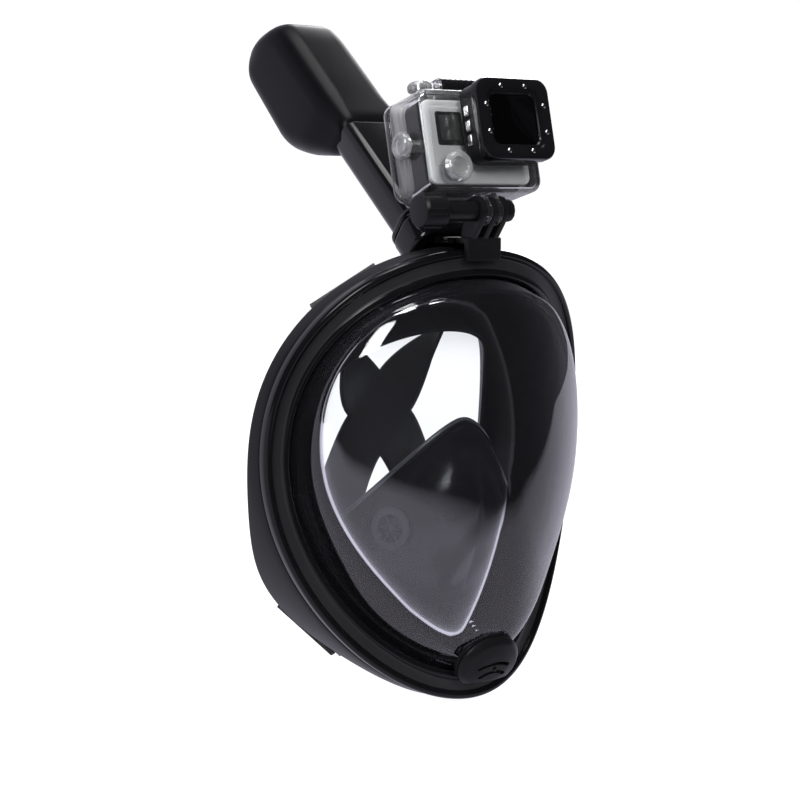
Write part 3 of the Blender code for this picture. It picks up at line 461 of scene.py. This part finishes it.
def make_skirt():
    mesh_data = bmesh.new()
    path = catmull(SKIRT_PATH, 7)
    grid_faces(mesh_data, [[on_rim(t, *p) for t in ANGLES[::2]] for p in path], around=True)
    skirt = made_object("skirt", mesh_data, SKIRT, "mask", ["face_skirt"], 80)
    return thicken(skirt, 1.8, 0.0)


EDGE_RADIUS = 1.5
CHEEK_SIDE, CHEEK_DROP, CHEEK_BORE = 0.72, 0.28, 8.6


def pocket_point(side, drop):
    spread = abs(side)
    top = Vector((50.0 * side, -26.0 + 44.0 * spread ** 2.1, 27.5 - 56.0 * spread ** 1.6))
    low = Vector((34.0 * side, -12.0 + 14.0 * spread ** 2, -82.0 + 16.0 * spread ** 2))
    nose = math.sin(math.pi * min(1.0, drop * 1.04) ** 0.8) * (1 - spread ** 2.4)
    flat = top.lerp(low, drop)
    cheek = 16.0 * math.sin(math.pi * drop) * (1 - spread) * spread
    bulge = math.copysign(6.0 * math.sin(math.pi * drop) * spread, side)
    return flat + Vector((bulge, -22.0 * nose - cheek, 0.0))


def cheek_frames():
    here = pocket_point(CHEEK_SIDE, CHEEK_DROP)
    along = pocket_point(CHEEK_SIDE + 0.05, CHEEK_DROP) - here
    outward = along.cross(pocket_point(CHEEK_SIDE, CHEEK_DROP + 0.05) - here)
    if outward.y > 0:
        outward.negate()
    left = axis_frame(here, outward)
    flip = Matrix.Scale(-1, 4, (1, 0, 0))
    return (("left", left), ("right", flip @ left @ flip))


def make_pocket():
    mesh_data = bmesh.new()
    across, down = 72, 40
    grid_faces(mesh_data, [[pocket_point(-1 + 2 * i / across, j / down) for i in range(across + 1)]
                           for j in range(down + 1)])
    pocket = made_object("pocket", mesh_data, SILICONE, "mask", ["orinasal_pocket"], 80)
    thicken(pocket, 1.6, 0.0)
    for side, place in cheek_frames():
        cut(pocket, tool("bore_" + side, turned_mesh(((CHEEK_BORE, -14.0), (CHEEK_BORE, 14.0)), place)))
    rim = bmesh.new()
    edge = [pocket_point(-1 + 2 * i / 48, 0.0) for i in range(49)]
    rows = []
    for i, p in enumerate(edge):
        ahead = (edge[min(48, i + 1)] - edge[max(0, i - 1)]).normalized()
        side = ahead.cross(Vector((0, -1, 0))).normalized()
        front = side.cross(ahead)
        rows.append([p + (side * math.cos(a) + front * math.sin(a)) * EDGE_RADIUS
                     for a in (TAU * k / 10 for k in range(10))])
    verts = grid_faces(rim, rows, around=True)
    rim.faces.new(verts[0])
    rim.faces.new(verts[-1])
    # The rim tube takes the lighter grey that paints a highlight along the pocket's edge.
    made_object("pocket_edge_painted_highlight", rim, EDGE_PAINTED_HIGHLIGHT, "mask", (), 80)


# Ring, hub and spokes take the lighter grey that paints a highlight on the valves.
def make_cheek_valves():
    seat = soften(((8.2, -2.2), (8.2, 2.4), (10.8, 2.4), (10.8, 3.6), (6.8, 3.6), (6.8, -2.2)), 0.5, 3)
    for side, place in cheek_frames():
        made_object("cheek_ring_" + side, turned_mesh(seat, place, 48, True), VALVE_PAINTED_HIGHLIGHT, "mask",
                    ["cheek_valve_seat_" + side])
        hub = turned_mesh(((1.9, -1.4), (1.9, 2.6), (1.2, 3.1)), place, 24)
        made_object("cheek_hub_" + side, hub, VALVE_PAINTED_HIGHLIGHT, "mask", ()).data.shade_smooth()
        for k in range(6):
            turn = place @ Matrix.Rotation(TAU * k / 6, 4, "Z")
            bar = box_mesh((1.4, -0.55, 0.6), (7.2, 0.55, 2.4), turn)
            spoke = made_object(f"cheek_spoke_{side}_{k}", bar, VALVE_PAINTED_HIGHLIGHT, "mask", ())
            rounded(spoke, 0.3, 2)


make_skirt()
make_pocket()
make_cheek_valves()


# ------------------------------------------------------------------ chin valve

def make_chin_cover():
    shell = soften(((14.8, 2.6), (14.8, 4.0), (12.6, 6.6), (7.3, 8.6), (0.8, 9.2), (0.8, 7.4), (6.8, 6.9),
                    (11.4, 5.4), (12.6, 4.0), (12.6, 2.6)), 1.0, 3)
    cover = made_object("chin_cover", turned_mesh(shell, CHIN, 96, True), SATIN, "mask", ["chin_valve_cover"])
    cutter = bmesh.new()
    for radius, spread in ((13.1, 36), (8.3, 50)):
        arc = [math.radians(90 + spread * (k / 8 - 1)) for k in range(17)]
        loop = [(radius - 0.9, a) for a in arc] + [(radius + 0.9, a) for a in reversed(arc)]
        rings = [[CHIN @ Vector((r * math.cos(a), r * math.sin(a) - 10.6, height)) for r, a in loop]
                 for height in (4.9, 14.0)]
        verts = grid_faces(cutter, rings, around=True)
        cutter.faces.new(verts[0])
        cutter.faces.new(verts[-1])
    cut(cover, tool("chin_louvres", cutter))
    cut(cover, tool("chin_sill", box_mesh((-30.0, -80.0, -130.0), (30.0, -20.0, CHIN_SILL))))
    apply_all(cover)


make_chin_cover()

# ------------------------------------------------------------------ snorkel

RISE = math.radians(38.6)
FOOT = Vector((0.0, -17.0, 109.0))
ALONG = Vector((0.0, math.cos(RISE), math.sin(RISE)))
UPFRONT = Vector((0.0, -math.sin(RISE), math.cos(RISE)))


def in_tube(x, n, s):
    return FOOT + ALONG * s + UPFRONT * n + Vector((x, 0.0, 0.0))


def section_loop(half_width, low, high, corner, s, steps=7):
    """A rounded rectangle across the tube between heights low and high."""
    middle, half_height = (low + high) / 2, (high - low) / 2
    corner = max(0.05, min(corner, half_width * 0.98, half_height * 0.98))
    made = []
    for quarter in range(4):
        across, upwards = (1, -1, -1, 1)[quarter], (1, 1, -1, -1)[quarter]
        for k in range(steps + 1):
            turn = math.pi / 2 * (quarter + k / steps)
            made.append(in_tube(across * (half_width - corner) + corner * math.cos(turn),
                                middle + upwards * (half_height - corner) + corner * math.sin(turn), s))
    return made


def sleeve(name, stations, material, body, nodes):
    """A closed run of (along, grow) up the outside and back down the bore."""
    mesh_data = bmesh.new()
    line = soften(stations, 0.7, 3)
    grid_faces(mesh_data, [section_loop(20 + g, -10 - g, 10 + g, 6 + g, s) for s, g in line], True, True)
    return made_object(name, mesh_data, material, body, nodes, 60)


HEAD_YZ = ((49.3, 175.6), (62.3, 158.8), (97.0, 160.0), (112.0, 163.0), (121.0, 167.0), (158.5, 200.5),
           (160.5, 208.0), (155.0, 222.0), (143.0, 230.0), (124.0, 234.0), (113.0, 227.0))
HEAD_SIDE = [((y + 17.0) * math.cos(RISE) + (z - 109.0) * math.sin(RISE),
              -(y + 17.0) * math.sin(RISE) + (z - 109.0) * math.cos(RISE)) for y, z in HEAD_YZ]


def head_span(s, loop):
    """Lowest and highest point of the head's side outline at a distance along the tube."""
    hits = []
    for (s0, n0), (s1, n1) in zip(loop, loop[1:] + loop[:1]):
        if (s0 - s) * (s1 - s) <= 0 and abs(s1 - s0) > 1e-9:
            hits.append(n0 + (n1 - n0) * (s - s0) / (s1 - s0))
    return min(hits), max(hits)


def swell(s):
    """The head's sides bulge a little past the tube's, from its shoulder on."""
    q = min(1.0, max(0.0, (s - 95.0) / 30.0))
    return q * q * (3 - 2 * q)


def make_snorkel():
    sleeve("socket", ((3.0, 2.2), (5.0, 3.0), (17.8, 3.0), (19.0, 2.4), (19.0, 0.4), (8.4, 0.4), (8.4, -3.0),
                      (3.0, -3.0)), GLOSS, "mask", ["snorkel_socket"])
    block = box_mesh((-13.0, -31.0, 114.9), (13.0, -14.0, 118.3))
    rounded(made_object("socket_saddle", block, GLOSS, "mask", ()), 1.2, 4)
    sleeve("tube", ((9.0, -0.6), (19.4, -0.6), (19.4, 2.6), (22.6, 2.6), (25.0, 0.0), (96.0, 0.0),
                    (96.0, -2.6), (9.0, -2.6)), GLOSS, "snorkel", ["snorkel_tube"])
    make_head()


def make_head():
    flat = [Vector(p) for p in HEAD_SIDE]
    loop = [(p.x, p.y) for p in soften(flat, 9.0, 7)]
    first, last = min(p[0] for p in loop) + 0.05, max(p[0] for p in loop) - 0.02
    stations = [first, first + 0.6, first + 1.6, first + 3.5] + [first + 6 + k * 3.0 for k in range(26)]
    stations += [last - (last - stations[-1] - 3.0) * (1 - k / 22) ** 2.2 for k in range(23)]
    rows = []
    for s in stations:
        low, high = head_span(s, loop)
        grow = min(1.0, (s - first) / 3.0)
        far = max(0.0, (s - 184.0) / (last - 184.0))
        half_width = (20.6 + 2.3 * swell(s)) * math.sqrt(max(0.0, 1 - 0.4 * far ** 4)) - (1 - grow) * 0.5
        rows.append(section_loop(half_width, low, high, 7.0 + 6.0 * swell(s), s, 10))
    mesh_data = bmesh.new()
    verts = grid_faces(mesh_data, rows, around=True)
    mesh_data.faces.new(verts[0])
    mesh_data.faces.new(verts[-1])
    head = made_object("head", mesh_data, HEAD_GLOSS, "snorkel", ["snorkel_head_base", "snorkel_head_cap"],
                       60)
    for k in range(5):
        y = 74.0 + 7.0 * k
        slot = tool(f"intake_{k}", box_mesh((-14.0, y, 150.0), (14.0, y + 4.0, 168.0)))
        rounded(slot, 1.4, 3)
        cut(head, slot)
    apply_all(head)


def seamed(name, base, p0, p1):
    """The gloss plastic with a fine dark groove where the side plane line through p0 and p1 crosses it."""
    made = base.copy()
    made.name = name
    tree = made.node_tree
    place = tree.nodes.new("ShaderNodeTexCoord").outputs["Object"]
    across = Vector((p1[1] - p0[1], -(p1[0] - p0[0]))).normalized()
    dot = tree.nodes.new("ShaderNodeVectorMath")
    dot.operation = "DOT_PRODUCT"
    dot.inputs[1].default_value = (0.0, across.x, across.y)
    tree.links.new(place, dot.inputs[0])
    shift = tree.nodes.new("ShaderNodeMath")
    shift.operation = "SUBTRACT"
    shift.inputs[1].default_value = (across.x * p0[0] + across.y * p0[1]) * MM
    tree.links.new(dot.outputs["Value"], shift.inputs[0])
    size = tree.nodes.new("ShaderNodeMath")
    size.operation = "ABSOLUTE"
    tree.links.new(shift.outputs["Value"], size.inputs[0])
    depth = tree.nodes.new("ShaderNodeMapRange")
    depth.inputs["From Max"].default_value = 0.0004
    tree.links.new(size.outputs["Value"], depth.inputs["Value"])
    bump = next(n for n in tree.nodes if n.bl_idname == "ShaderNodeBump")
    groove = tree.nodes.new("ShaderNodeBump")
    groove.inputs["Strength"].default_value = 0.04
    groove.inputs["Distance"].default_value = 0.0006
    tree.links.new(depth.outputs["Result"], groove.inputs["Height"])
    tree.links.new(bump.outputs["Normal"], groove.inputs["Normal"])
    shader = next(n for n in tree.nodes if n.bl_idname == "ShaderNodeBsdfPrincipled")
    tree.links.new(groove.outputs["Normal"], shader.inputs["Normal"])
    return made


HEAD_BLACK = moulded("head_black", (0.002, 0.002, 0.003), 0.3, 0.05, 700.0, 0.02, wear=0.3, shine=0.07)
HEAD_GLOSS = seamed("head_gloss", HEAD_BLACK, (40.0, 190.5), (170.0, 167.0))
make_snorkel()

# ------------------------------------------------------------------ harness

WEB = 37.0
ANCHOR_INSET = 6.0


def back_edge(t):
    return on_rim(t, ANCHOR_INSET * (ear(t) - 1.0), FRAME_BACK - EAR_EXTRA_DEPTH * ear(t) - 0.8)


def anchor_frame(t):
    outward = rim_outward(t)
    along = back_edge(t - 0.12) - back_edge(t + 0.12)
    along = (along - outward * along.dot(outward)).normalized()
    made = Matrix((along, outward.cross(along), outward)).transposed().to_4x4()
    made.translation = back_edge(t)
    return made


UPPER, LOWER = math.radians(37), math.radians(128)
ANCHORS = (("upper_left", UPPER), ("lower_left", LOWER),
           ("lower_right", TAU - LOWER), ("upper_right", TAU - UPPER))
CROSS = Vector((0.0, 50.0, 22.0))
PULL = ((0.0, -22.0, -10.0), (0.0, -26.0, 2.0))


def make_buckles():
    for name, t in ANCHORS:
        place = anchor_frame(t)
        plate = box_mesh((-22.5, -8.4, -1.3), (22.5, -1.0, 1.3), place)
        buckle = made_object("buckle_" + name, plate, SATIN, "mask", ["strap_buckle_" + name])
        rounded(buckle, 0.7, 4)
        hole = tool("hole_" + name, box_mesh((-19.5, -5.8, -4.0), (19.5, -2.3, 4.0), place))
        rounded(hole, 1.0, 3)
        cut(buckle, hole)
        apply_all(buckle)


def strap_end():
    """Centre line of the webbing at an anchor as (forward, outward): over the bar, round it and back out."""
    bar, reach = -7.1, 3.1
    line = [(-16.8, -0.8), (-14.4, 0.4), (-12.0, 1.5), (-9.4, 2.6), (bar, reach)]
    for k in range(1, 16):
        angle = math.radians(90 - 180 * k / 16)
        line.append((bar + reach * math.cos(angle), reach * math.sin(angle)))
    return line + [(bar, -reach), (-9.8, -3.4), (-12.8, -4.2), (-15.8, -5.4)]


def strap_arm(root, t, across):
    place = anchor_frame(t)
    middle = sum(root, Vector()) / len(root)
    spread = [WEB * (k / across - 0.5) for k in range(across + 1)]
    first, last = place @ Vector((spread[0], 0, 0)), place @ Vector((spread[-1], 0, 0))
    if (first - root[0]).length > (last - root[0]).length:
        spread.reverse()
    ends = [[place @ Vector((x, y, z)) for x in spread] for y, z in strap_end()]
    away = (middle - CROSS).normalized() * 24.0
    pull = place.to_3x3() @ Vector(PULL[half_angle(t) > 90])
    rows = [root]
    for step in range(1, 24):
        q = step / 24
        row = []
        for start, end in zip(root, ends[0]):
            row.append(start * (1 - q) ** 3 + (start + away) * 3 * q * (1 - q) ** 2
                       + (end + pull) * 3 * q * q * (1 - q) + end * q ** 3)
        rows.append(row)
    return rows + ends


def make_strap():
    across = 12
    top, right, left = (CROSS + Vector(p) for p in ((0, 0, 23.0), (20.0, 0, 0), (-20.0, 0, 0)))
    patch = [[top + (right - top) * (i / across) + (left - top) * (j / across) for i in range(across + 1)]
             for j in range(across + 1)]
    sides = (patch[0], [row[-1] for row in patch], patch[-1], [row[0] for row in patch])
    mesh_data = bmesh.new()
    uv = mesh_data.loops.layers.uv.new("UVMap")
    area = 0.0
    for grid in [patch] + [strap_arm(side, t, across) for side, (_, t) in zip(sides, ANCHORS)]:
        verts = [[mesh_data.verts.new(p) for p in row] for row in grid]
        run = [0.0]
        for first, second in zip(grid, grid[1:]):
            run.append(run[-1] + (second[across // 2] - first[across // 2]).length)
        for i in range(len(verts) - 1):
            for k in range(across):
                corner = ((i, k), (i, k + 1), (i + 1, k + 1), (i + 1, k))
                face = mesh_data.faces.new([verts[a][b] for a, b in corner])
                for loop, (a, b) in zip(face.loops, corner):
                    loop[uv].uv = (b / across, run[a] / WEB)
                area += face.calc_area()
    bmesh.ops.remove_doubles(mesh_data, verts=mesh_data.verts, dist=0.01)
    strap = made_object("strap", mesh_data, WEBBING, "mask", ["head_strap"], 80)
    thicken(strap, 2.0, 0.0)


make_buckles()
make_strap()

# ------------------------------------------------------------------ action camera and its case

TILT = math.radians(13.8)
CASE_FRAME = Matrix.Translation((0.0, -36.5, 163.6)) @ Matrix.Rotation(-TILT, 4, "X")
SNOUT = (10.0, 6.4)
CASE_HALF, CASE_CORNER = (34.0, 25.0), 6.5
PIVOT_Y, PIVOT_Z = -0.5, -33.7


def rounded_rectangle(half_width, half_height, corner, steps=7):
    made = []
    for quarter in range(4):
        across, upwards = (1, -1, -1, 1)[quarter], (1, 1, -1, -1)[quarter]
        for k in range(steps + 1):
            turn = math.pi / 2 * (quarter + k / steps)
            made.append((across * (half_width - corner) + corner * math.cos(turn),
                         upwards * (half_height - corner) + corner * math.sin(turn)))
    return made


def edge_rows(near, far, edge_near, edge_far, steps=5):
    """(inset, depth) pairs that round both ends of a slab."""
    rows = [(edge_near * (1 - math.sin(a)), near + edge_near * (1 - math.cos(a)))
            for a in (math.pi / 2 * k / steps for k in range(steps + 1))]
    rows += [(edge_far * (1 - math.cos(a)), far - edge_far * (1 - math.sin(a)))
             for a in (math.pi / 2 * k / steps for k in range(steps + 1))]
    return rows


def slab(name, centre, half, corner, near, far, edges, material, nodes=(), open_back=False,
         body="camera_case"):
    """A slab with rounded corners and edges, between two depths of the case's frame."""
    rows = edge_rows(near, far, *edges)
    if open_back:
        rows = [r for r in rows if r[1] <= far - edges[1] + 1e-6] + [(0.0, far)]
    grid = []
    for inset, y in rows:
        outline = rounded_rectangle(half[0] - inset, half[1] - inset, max(0.3, corner - inset))
        grid.append([CASE_FRAME @ Vector((centre[0] + x, y, centre[1] + z)) for x, z in outline])
    mesh_data = bmesh.new()
    verts = grid_faces(mesh_data, grid, around=True)
    mesh_data.faces.new(verts[0])
    if not open_back:
        mesh_data.faces.new(verts[-1])
    return made_object(name, mesh_data, material, body, nodes, 40)


def case_turned(name, profile, x, z, material, nodes=(), slot=None, body="camera_case", steps=56):
    place = CASE_FRAME @ axis_frame((x, 0.0, z), (0.0, -1.0, 0.0))
    return made_object(name, turned_mesh(profile, place, steps), material, body, nodes, 40)


def case_box(name, low, high, edge, material, nodes=(), body="camera_case"):
    return rounded(made_object(name, box_mesh(low, high, CASE_FRAME), material, body, nodes), edge, 4)


def make_case():
    front = slab("case_shell", (0, 0), CASE_HALF, CASE_CORNER, -4.0, 20.9, (3.0, 0.0), CASE,
                 ["case_front"], open_back=True)
    thicken(front, 2.0)
    slab("case_back_rim", (0, 0), CASE_HALF, CASE_CORNER, 18.4, 20.9, (0.6, 0.6), SEAL_WHITE, ())
    slab("case_door_plate", (0, 0.4), (34.0, 24.6), CASE_CORNER, 22.5, 28.0, (1.0, 2.0), CASE,
         ["case_door"], body="door")
    for k in (-1, 1):
        side = (k + 1) // 2
        x = k * 3.2
        fingers = bmesh.new()
        arc = [(PIVOT_Y + 7.2 * math.cos(math.radians(a)), PIVOT_Z + 7.2 * math.sin(math.radians(a)))
               for a in range(180, 361, 12)]
        outline = arc + [(9.5, -25.2), (-3.4, -25.2)]
        rings = [[CASE_FRAME @ Vector((edge, y, z)) for y, z in outline] for edge in (x - 1.4, x + 1.4)]
        verts = grid_faces(fingers, rings, around=True)
        fingers.faces.new(verts[0])
        fingers.faces.new(verts[-1])
        rounded(made_object(f"case_finger_{side}", fingers, CASE, "camera_case", ()), 0.5, 3)
        low, high = (14.0, 19.0) if k > 0 else (-19.0, -14.0)
        case_box(f"hinge_lug_{side}", (low, 17.0, -28.6), (high, 27.4, -24.8), 1.0, CASE, ())
        low, high = (19.4, 21.6) if k > 0 else (-13.6, -11.4)
        case_box(f"latch_stand_{side}", (low, 6.0, 24.6), (high, 14.0, 33.4), 0.8, CASE, ())
    case_box("door_knuckle", (-13.6, 23.4, -28.6), (13.6, 27.6, -23.6), 1.2, CASE, (),
             body="door")


def make_bezel():
    """The black block round the window: a deep body, a raised frame with screws and a stepped recess."""
    slab("bezel_block", SNOUT, (20.6, 19.0), 6.0, -17.6, -4.4, (1.2, 0.6), SATIN, ())
    outer = (21.3, 19.8)
    grid = []
    for y, inset in ((-14.6, 0.0), (-19.2, 0.0), (-20.1, 0.4), (-20.4, 1.2), (-20.4, 4.6), (-20.1, 5.4),
                     (-19.0, 5.8), (-18.8, 7.2), (-18.0, 7.8)):
        outline = rounded_rectangle(outer[0] - inset, outer[1] - inset, max(2.0, 6.5 - inset * 0.35))
        grid.append([CASE_FRAME @ Vector((SNOUT[0] + x, y, SNOUT[1] + z)) for x, z in outline])
    frame_mesh = bmesh.new()
    verts = grid_faces(frame_mesh, grid, around=True)
    frame_mesh.faces.new(verts[0])
    made_object("bezel_frame", frame_mesh, GLOSS, "camera_case", ["window_bezel"], 35)
    slab("window_pane", SNOUT, (13.6, 12.1), 4.4, -18.3, -17.7, (0.2, 0.2), LENS_TINT, ["window_glass"])
    rings = ((11.6, 16.2), (11.6, 17.2), (10.6, 17.4), (9.6, 16.6), (8.8, 17.0), (7.8, 16.9), (7.2, 15.8),
             (6.4, 16.2), (5.4, 16.4), (3.0, 16.9), (0.6, 17.1))
    case_turned("camera_objective", rings, *SNOUT, LENS_BLACK, ["camera_lens"], "lens_black")
    for k in range(8):
        turn = TAU * (k + 0.5) / 8
        x, z = SNOUT[0] + 18.5 * math.cos(turn), SNOUT[1] + 17.0 * math.sin(turn)
        case_turned(f"bezel_pin_{k}", ((1.15, 20.2), (1.15, 20.6), (0.8, 20.9)), x, z, STEEL,
                    [f"bezel_screw_{k + 1}"], "steel", steps=20)
    for k, z in enumerate((-2.0, 5.0, 12.0)):
        case_box(f"bezel_hinge_{k}", (-12.4, -12.0, z - 2.6), (-9.4, -8.4, z + 2.6), 0.7, STEEL, ())


def make_body():
    slab("camera_back", (0, 0), (29.2, 20.3), 4.0, 2.3, 20.6, (0.6, 2.0), SATIN, ["camera_body"])
    slab("camera_face", (0, 0), (29.5, 20.5), 4.0, 0.0, 2.4, (0.7, 0.2), SILVER, ())
    slab("face_panel", (-15.4, 2.6), (11.0, 14.4), 2.0, -0.35, 0.4, (0.25, 0.1), SILVER, ())
    slab("display_frame", (-15.6, 6.4), (7.6, 8.2), 1.2, -0.75, 0.2, (0.2, 0.1), SATIN, ["camera_display"])
    slab("display_screen", (-15.6, 6.8), (5.6, 6.0), 0.7, -0.95, -0.5, (0.1, 0.1), SCREEN, ())


def plunger(name, place, radius, inner, nodes, body):
    """A clear cap over a steel core with a groove and a spring ring."""
    profile = soften(((0.2, inner), (3.0, inner), (3.0, inner + 5.0), (radius, inner + 5.4),
                      (radius, inner + 8.0), (radius - 1.2, inner + 9.4), (radius * 0.55, inner + 9.4),
                      (radius * 0.5, inner + 8.4), (0.2, inner + 8.4)), 0.5, 2)
    made_object(name, turned_mesh(profile, place, 48), CASE_CAP, body, nodes, 40)
    waist = radius * 0.62
    core = ((2.6, inner + 5.2), (waist, inner + 5.2), (waist, inner + 7.6), (2.0, inner + 8.0))
    made_object(name + "_core", turned_mesh(core, place, 40), STEEL, body, (), 40)


CASE_CAP = clear_plastic("button_cap", (0.9, 0.91, 0.92), 0.05, 0.22, 1.6)


def make_buttons():
    front = CASE_FRAME @ axis_frame((-19.0, 0.0, -14.0), (0.0, -1.0, 0.0))
    plunger("power_cap", front, 7.3, 1.6, ["power_button"], "power")
    top = CASE_FRAME @ Matrix.Translation((-23.0, 9.0, 0.0))
    plunger("shutter_cap", top, 6.0, 21.9, ["shutter_button"], "shutter")
    side = CASE_FRAME @ axis_frame((0.0, 9.0, 0.0), (-1.0, 0.0, 0.0))
    plunger("side_cap", side, 6.5, 30.9, ["side_button"], "side")


def make_latch():
    place = CASE_FRAME @ axis_frame((0.0, 10.0, 30.0), (1.0, 0.0, 0.0))
    profile = [(3.2, -10.9), (4.2, -10.1)]
    for k in range(9):
        x = -8.6 + 3.1 * k
        profile += [(4.2, x), (3.6, x + 0.3), (3.6, x + 0.8), (4.2, x + 1.1)]
    profile += [(4.2, 18.1), (3.2, 18.9)]
    barrel = turned_mesh(profile, place, 40)
    made_object("latch_barrel", barrel, GLOSS, "latch", ["case_latch"], 35)
    case_box("latch_plate", (-9.0, 12.0, 28.6), (17.0, 29.8, 31.2), 1.0, GLOSS, (),
             body="latch")
    case_box("latch_lip", (-9.0, 27.4, 27.2), (17.0, 29.8, 31.0), 0.9, GLOSS, (), body="latch")


make_case()
make_bezel()
make_body()
make_buttons()
make_latch()

# ------------------------------------------------------------------ finish of the CAD nodes kept in view

FINISH = {
    "satin_black": SATIN, "gloss_black": GLOSS, "black_silicone": SILICONE, "grey_silicone": GREY_SILICONE,
    "grey_plastic": GREY_PLASTIC, "clear_case": CASE, "clear_lens": GLASS, "camera_silver": SILVER,
    "lens_black": LENS_BLACK, "display": DISPLAY, "steel": STEEL, "webbing": WEBBING,
}
BEVEL = {"case_front": 0.7, "case_door": 0.8, "window_bezel": 0.7, "camera_body": 1.0, "camera_mount": 0.5,
         "thumb_screw": 0.5, "case_latch": 0.4, "power_button": 0.6, "shutter_button": 0.5,
         "side_button": 0.5,
         "camera_lens": 0.4, "camera_display": 0.2, "thumb_nut": 0.4, "chin_valve_seat": 0.3}
slots = {s["node"]: s["material_slot"] for s in frame["record"]["subparts"]}
for name, node in frame["nodes"].items():
    if node.hide_render:
        continue
    node.data.materials.clear()
    node.data.materials.append(FINISH[slots[name]])
    weld = node.modifiers.new("Weld", "WELD")
    weld.merge_threshold = 0.00001
    if name in BEVEL:
        rounded(node, BEVEL[name], 3, 32)
    node.data.shade_smooth()
    node.data.set_sharp_from_angle(angle=math.radians(35))


# ------------------------------------------------------------------ studio

def emitter(name, location, target, size, power, shape=1.0, mirrored=True):
    data = bpy.data.lights.new(name, "AREA")
    data.shape = "RECTANGLE"
    data.size = size
    data.size_y = size * shape
    data.energy = power
    obj = bpy.data.objects.new(name, data)
    obj.location = location
    obj.rotation_euler = (Vector(target) - Vector(location)).to_track_quat("-Z", "Y").to_euler()
    obj.visible_glossy = mirrored
    bpy.context.scene.collection.objects.link(obj)


def make_studio():
    """A pale sweep. To the eye it is nearly white; mirrored in the gloss plastic it is a dim studio."""
    n = Nodes("floor")
    grain = n.add("TexNoise", {"Vector": n.add("TexCoord").outputs["Object"]}, Scale=3.0, Detail=2.0)
    tone = n.add("MapRange", {"Value": grain.outputs["Fac"]})
    tone.inputs["To Min"].default_value = 0.3
    tone.inputs["To Max"].default_value = 0.32
    seen = n.add("BsdfDiffuse", {"Color": tone.outputs["Result"]})
    glow = n.add("Emission", Color=(1, 1, 1, 1), Strength=0.96)
    bright = n.add("AddShader", {0: seen.outputs["BSDF"], 1: glow.outputs["Emission"]})
    dim = n.add("BsdfDiffuse", Color=(0.12, 0.12, 0.125, 1))
    path = n.add("LightPath")
    where = n.add("SeparateXYZ", {"Vector": n.add("NewGeometry").outputs["Position"]})
    table = n.add("MapRange", {"Value": where.outputs["Y"]})
    table.inputs["From Min"].default_value = -0.36
    table.inputs["From Max"].default_value = -0.24
    table.inputs["To Min"].default_value = 0.04
    table.inputs["To Max"].default_value = 0.95
    mirrored = n.add("Emission", {"Strength": table.outputs["Result"]}, Color=(0.8, 0.77, 0.9, 1))
    mix = n.add("MixShader", {"Fac": path.outputs["Is Camera Ray"]})
    n.tree.links.new(dim.outputs["BSDF"], mix.inputs[1])
    n.tree.links.new(bright.outputs["Shader"], mix.inputs[2])
    both = n.add("MixShader", {"Fac": path.outputs["Is Glossy Ray"]})
    n.tree.links.new(mix.outputs["Shader"], both.inputs[1])
    n.tree.links.new(mirrored.outputs["Emission"], both.inputs[2])
    material = n.done(both.outputs["Shader"])
    mesh_data = bmesh.new()
    heights = [(-3.0, 0.0), (1.6, 0.0)] + [(1.6 + 1.2 * math.sin(a), 1.2 - 1.2 * math.cos(a)) for a in
                                           (math.pi / 2 * k / 16 for k in range(1, 17))] + [(2.8, 4.5)]
    rows = [[Vector((x * 1000, y * 1000, z * 1000 - 116.5)) for x in (-5, 5)] for y, z in heights]
    grid_faces(mesh_data, rows)
    floor = made_object("backdrop", mesh_data, material, None)
    floor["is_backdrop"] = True
    world = bpy.data.worlds.new("studio")
    bpy.context.scene.world = world
    world.use_nodes = True
    tree = world.node_tree
    back = tree.nodes["Background"]
    back.inputs["Color"].default_value = (0.05, 0.05, 0.054, 1)
    back.inputs["Strength"].default_value = 0.5
    white = tree.nodes.new("ShaderNodeBackground")
    white.inputs["Color"].default_value = (1, 1, 1, 1)
    mix = tree.nodes.new("ShaderNodeMixShader")
    ray = tree.nodes.new("ShaderNodeLightPath")
    tree.links.new(ray.outputs["Is Camera Ray"], mix.inputs["Fac"])
    tree.links.new(back.outputs["Background"], mix.inputs[1])
    tree.links.new(white.outputs["Background"], mix.inputs[2])
    tree.links.new(mix.outputs["Shader"], tree.nodes["World Output"].inputs["Surface"])
    emitter("key", (-1.5, -1.0, 1.3), (0, 0, 0.05), 0.7, 30, 1.4)
    emitter("fill", (1.6, -1.2, 0.5), (0, 0, 0.0), 0.35, 11, 3.0, mirrored=False)
    emitter("top", (0.0, 0.0, 1.8), (0, 0, 0.05), 1.0, 20)
    emitter("front", (-0.5, -2.0, 0.9), (0, 0, 0.1), 0.5, 16, 1.0, mirrored=False)
    emitter("rim", (1.1, 1.2, 0.9), (0, 0, 0.1), 0.6, 16, 2.0)


def make_camera():
    azimuth, elevation, distance = math.radians(-35), math.radians(10), 0.8
    place = Vector((math.sin(azimuth) * math.cos(elevation), -math.cos(azimuth) * math.cos(elevation),
                    math.sin(elevation))) * distance
    forward = -place.normalized()
    right = forward.cross(Vector((0, 0, 1))).normalized()
    up = right.cross(forward)
    aim = (forward - right * 0.02126 + up * 0.0427).normalized()
    data = bpy.data.cameras.new("camera")
    data.lens = 69.86
    data.sensor_width = 36.0
    data.clip_start = 0.01
    camera = bpy.data.objects.new("camera", data)
    camera.location = place
    camera.rotation_euler = aim.to_track_quat("-Z", "Y").to_euler()
    bpy.context.scene.collection.objects.link(camera)
    bpy.context.scene.camera = camera


make_studio()
make_camera()
bpy.context.scene.view_settings.view_transform = "Standard"

[[[float(x) for x in p] for p in b] if hasattr(b[0], "__len__") else [float(x) for x in b]
           for b in (CAD_BOUNDS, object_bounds())]
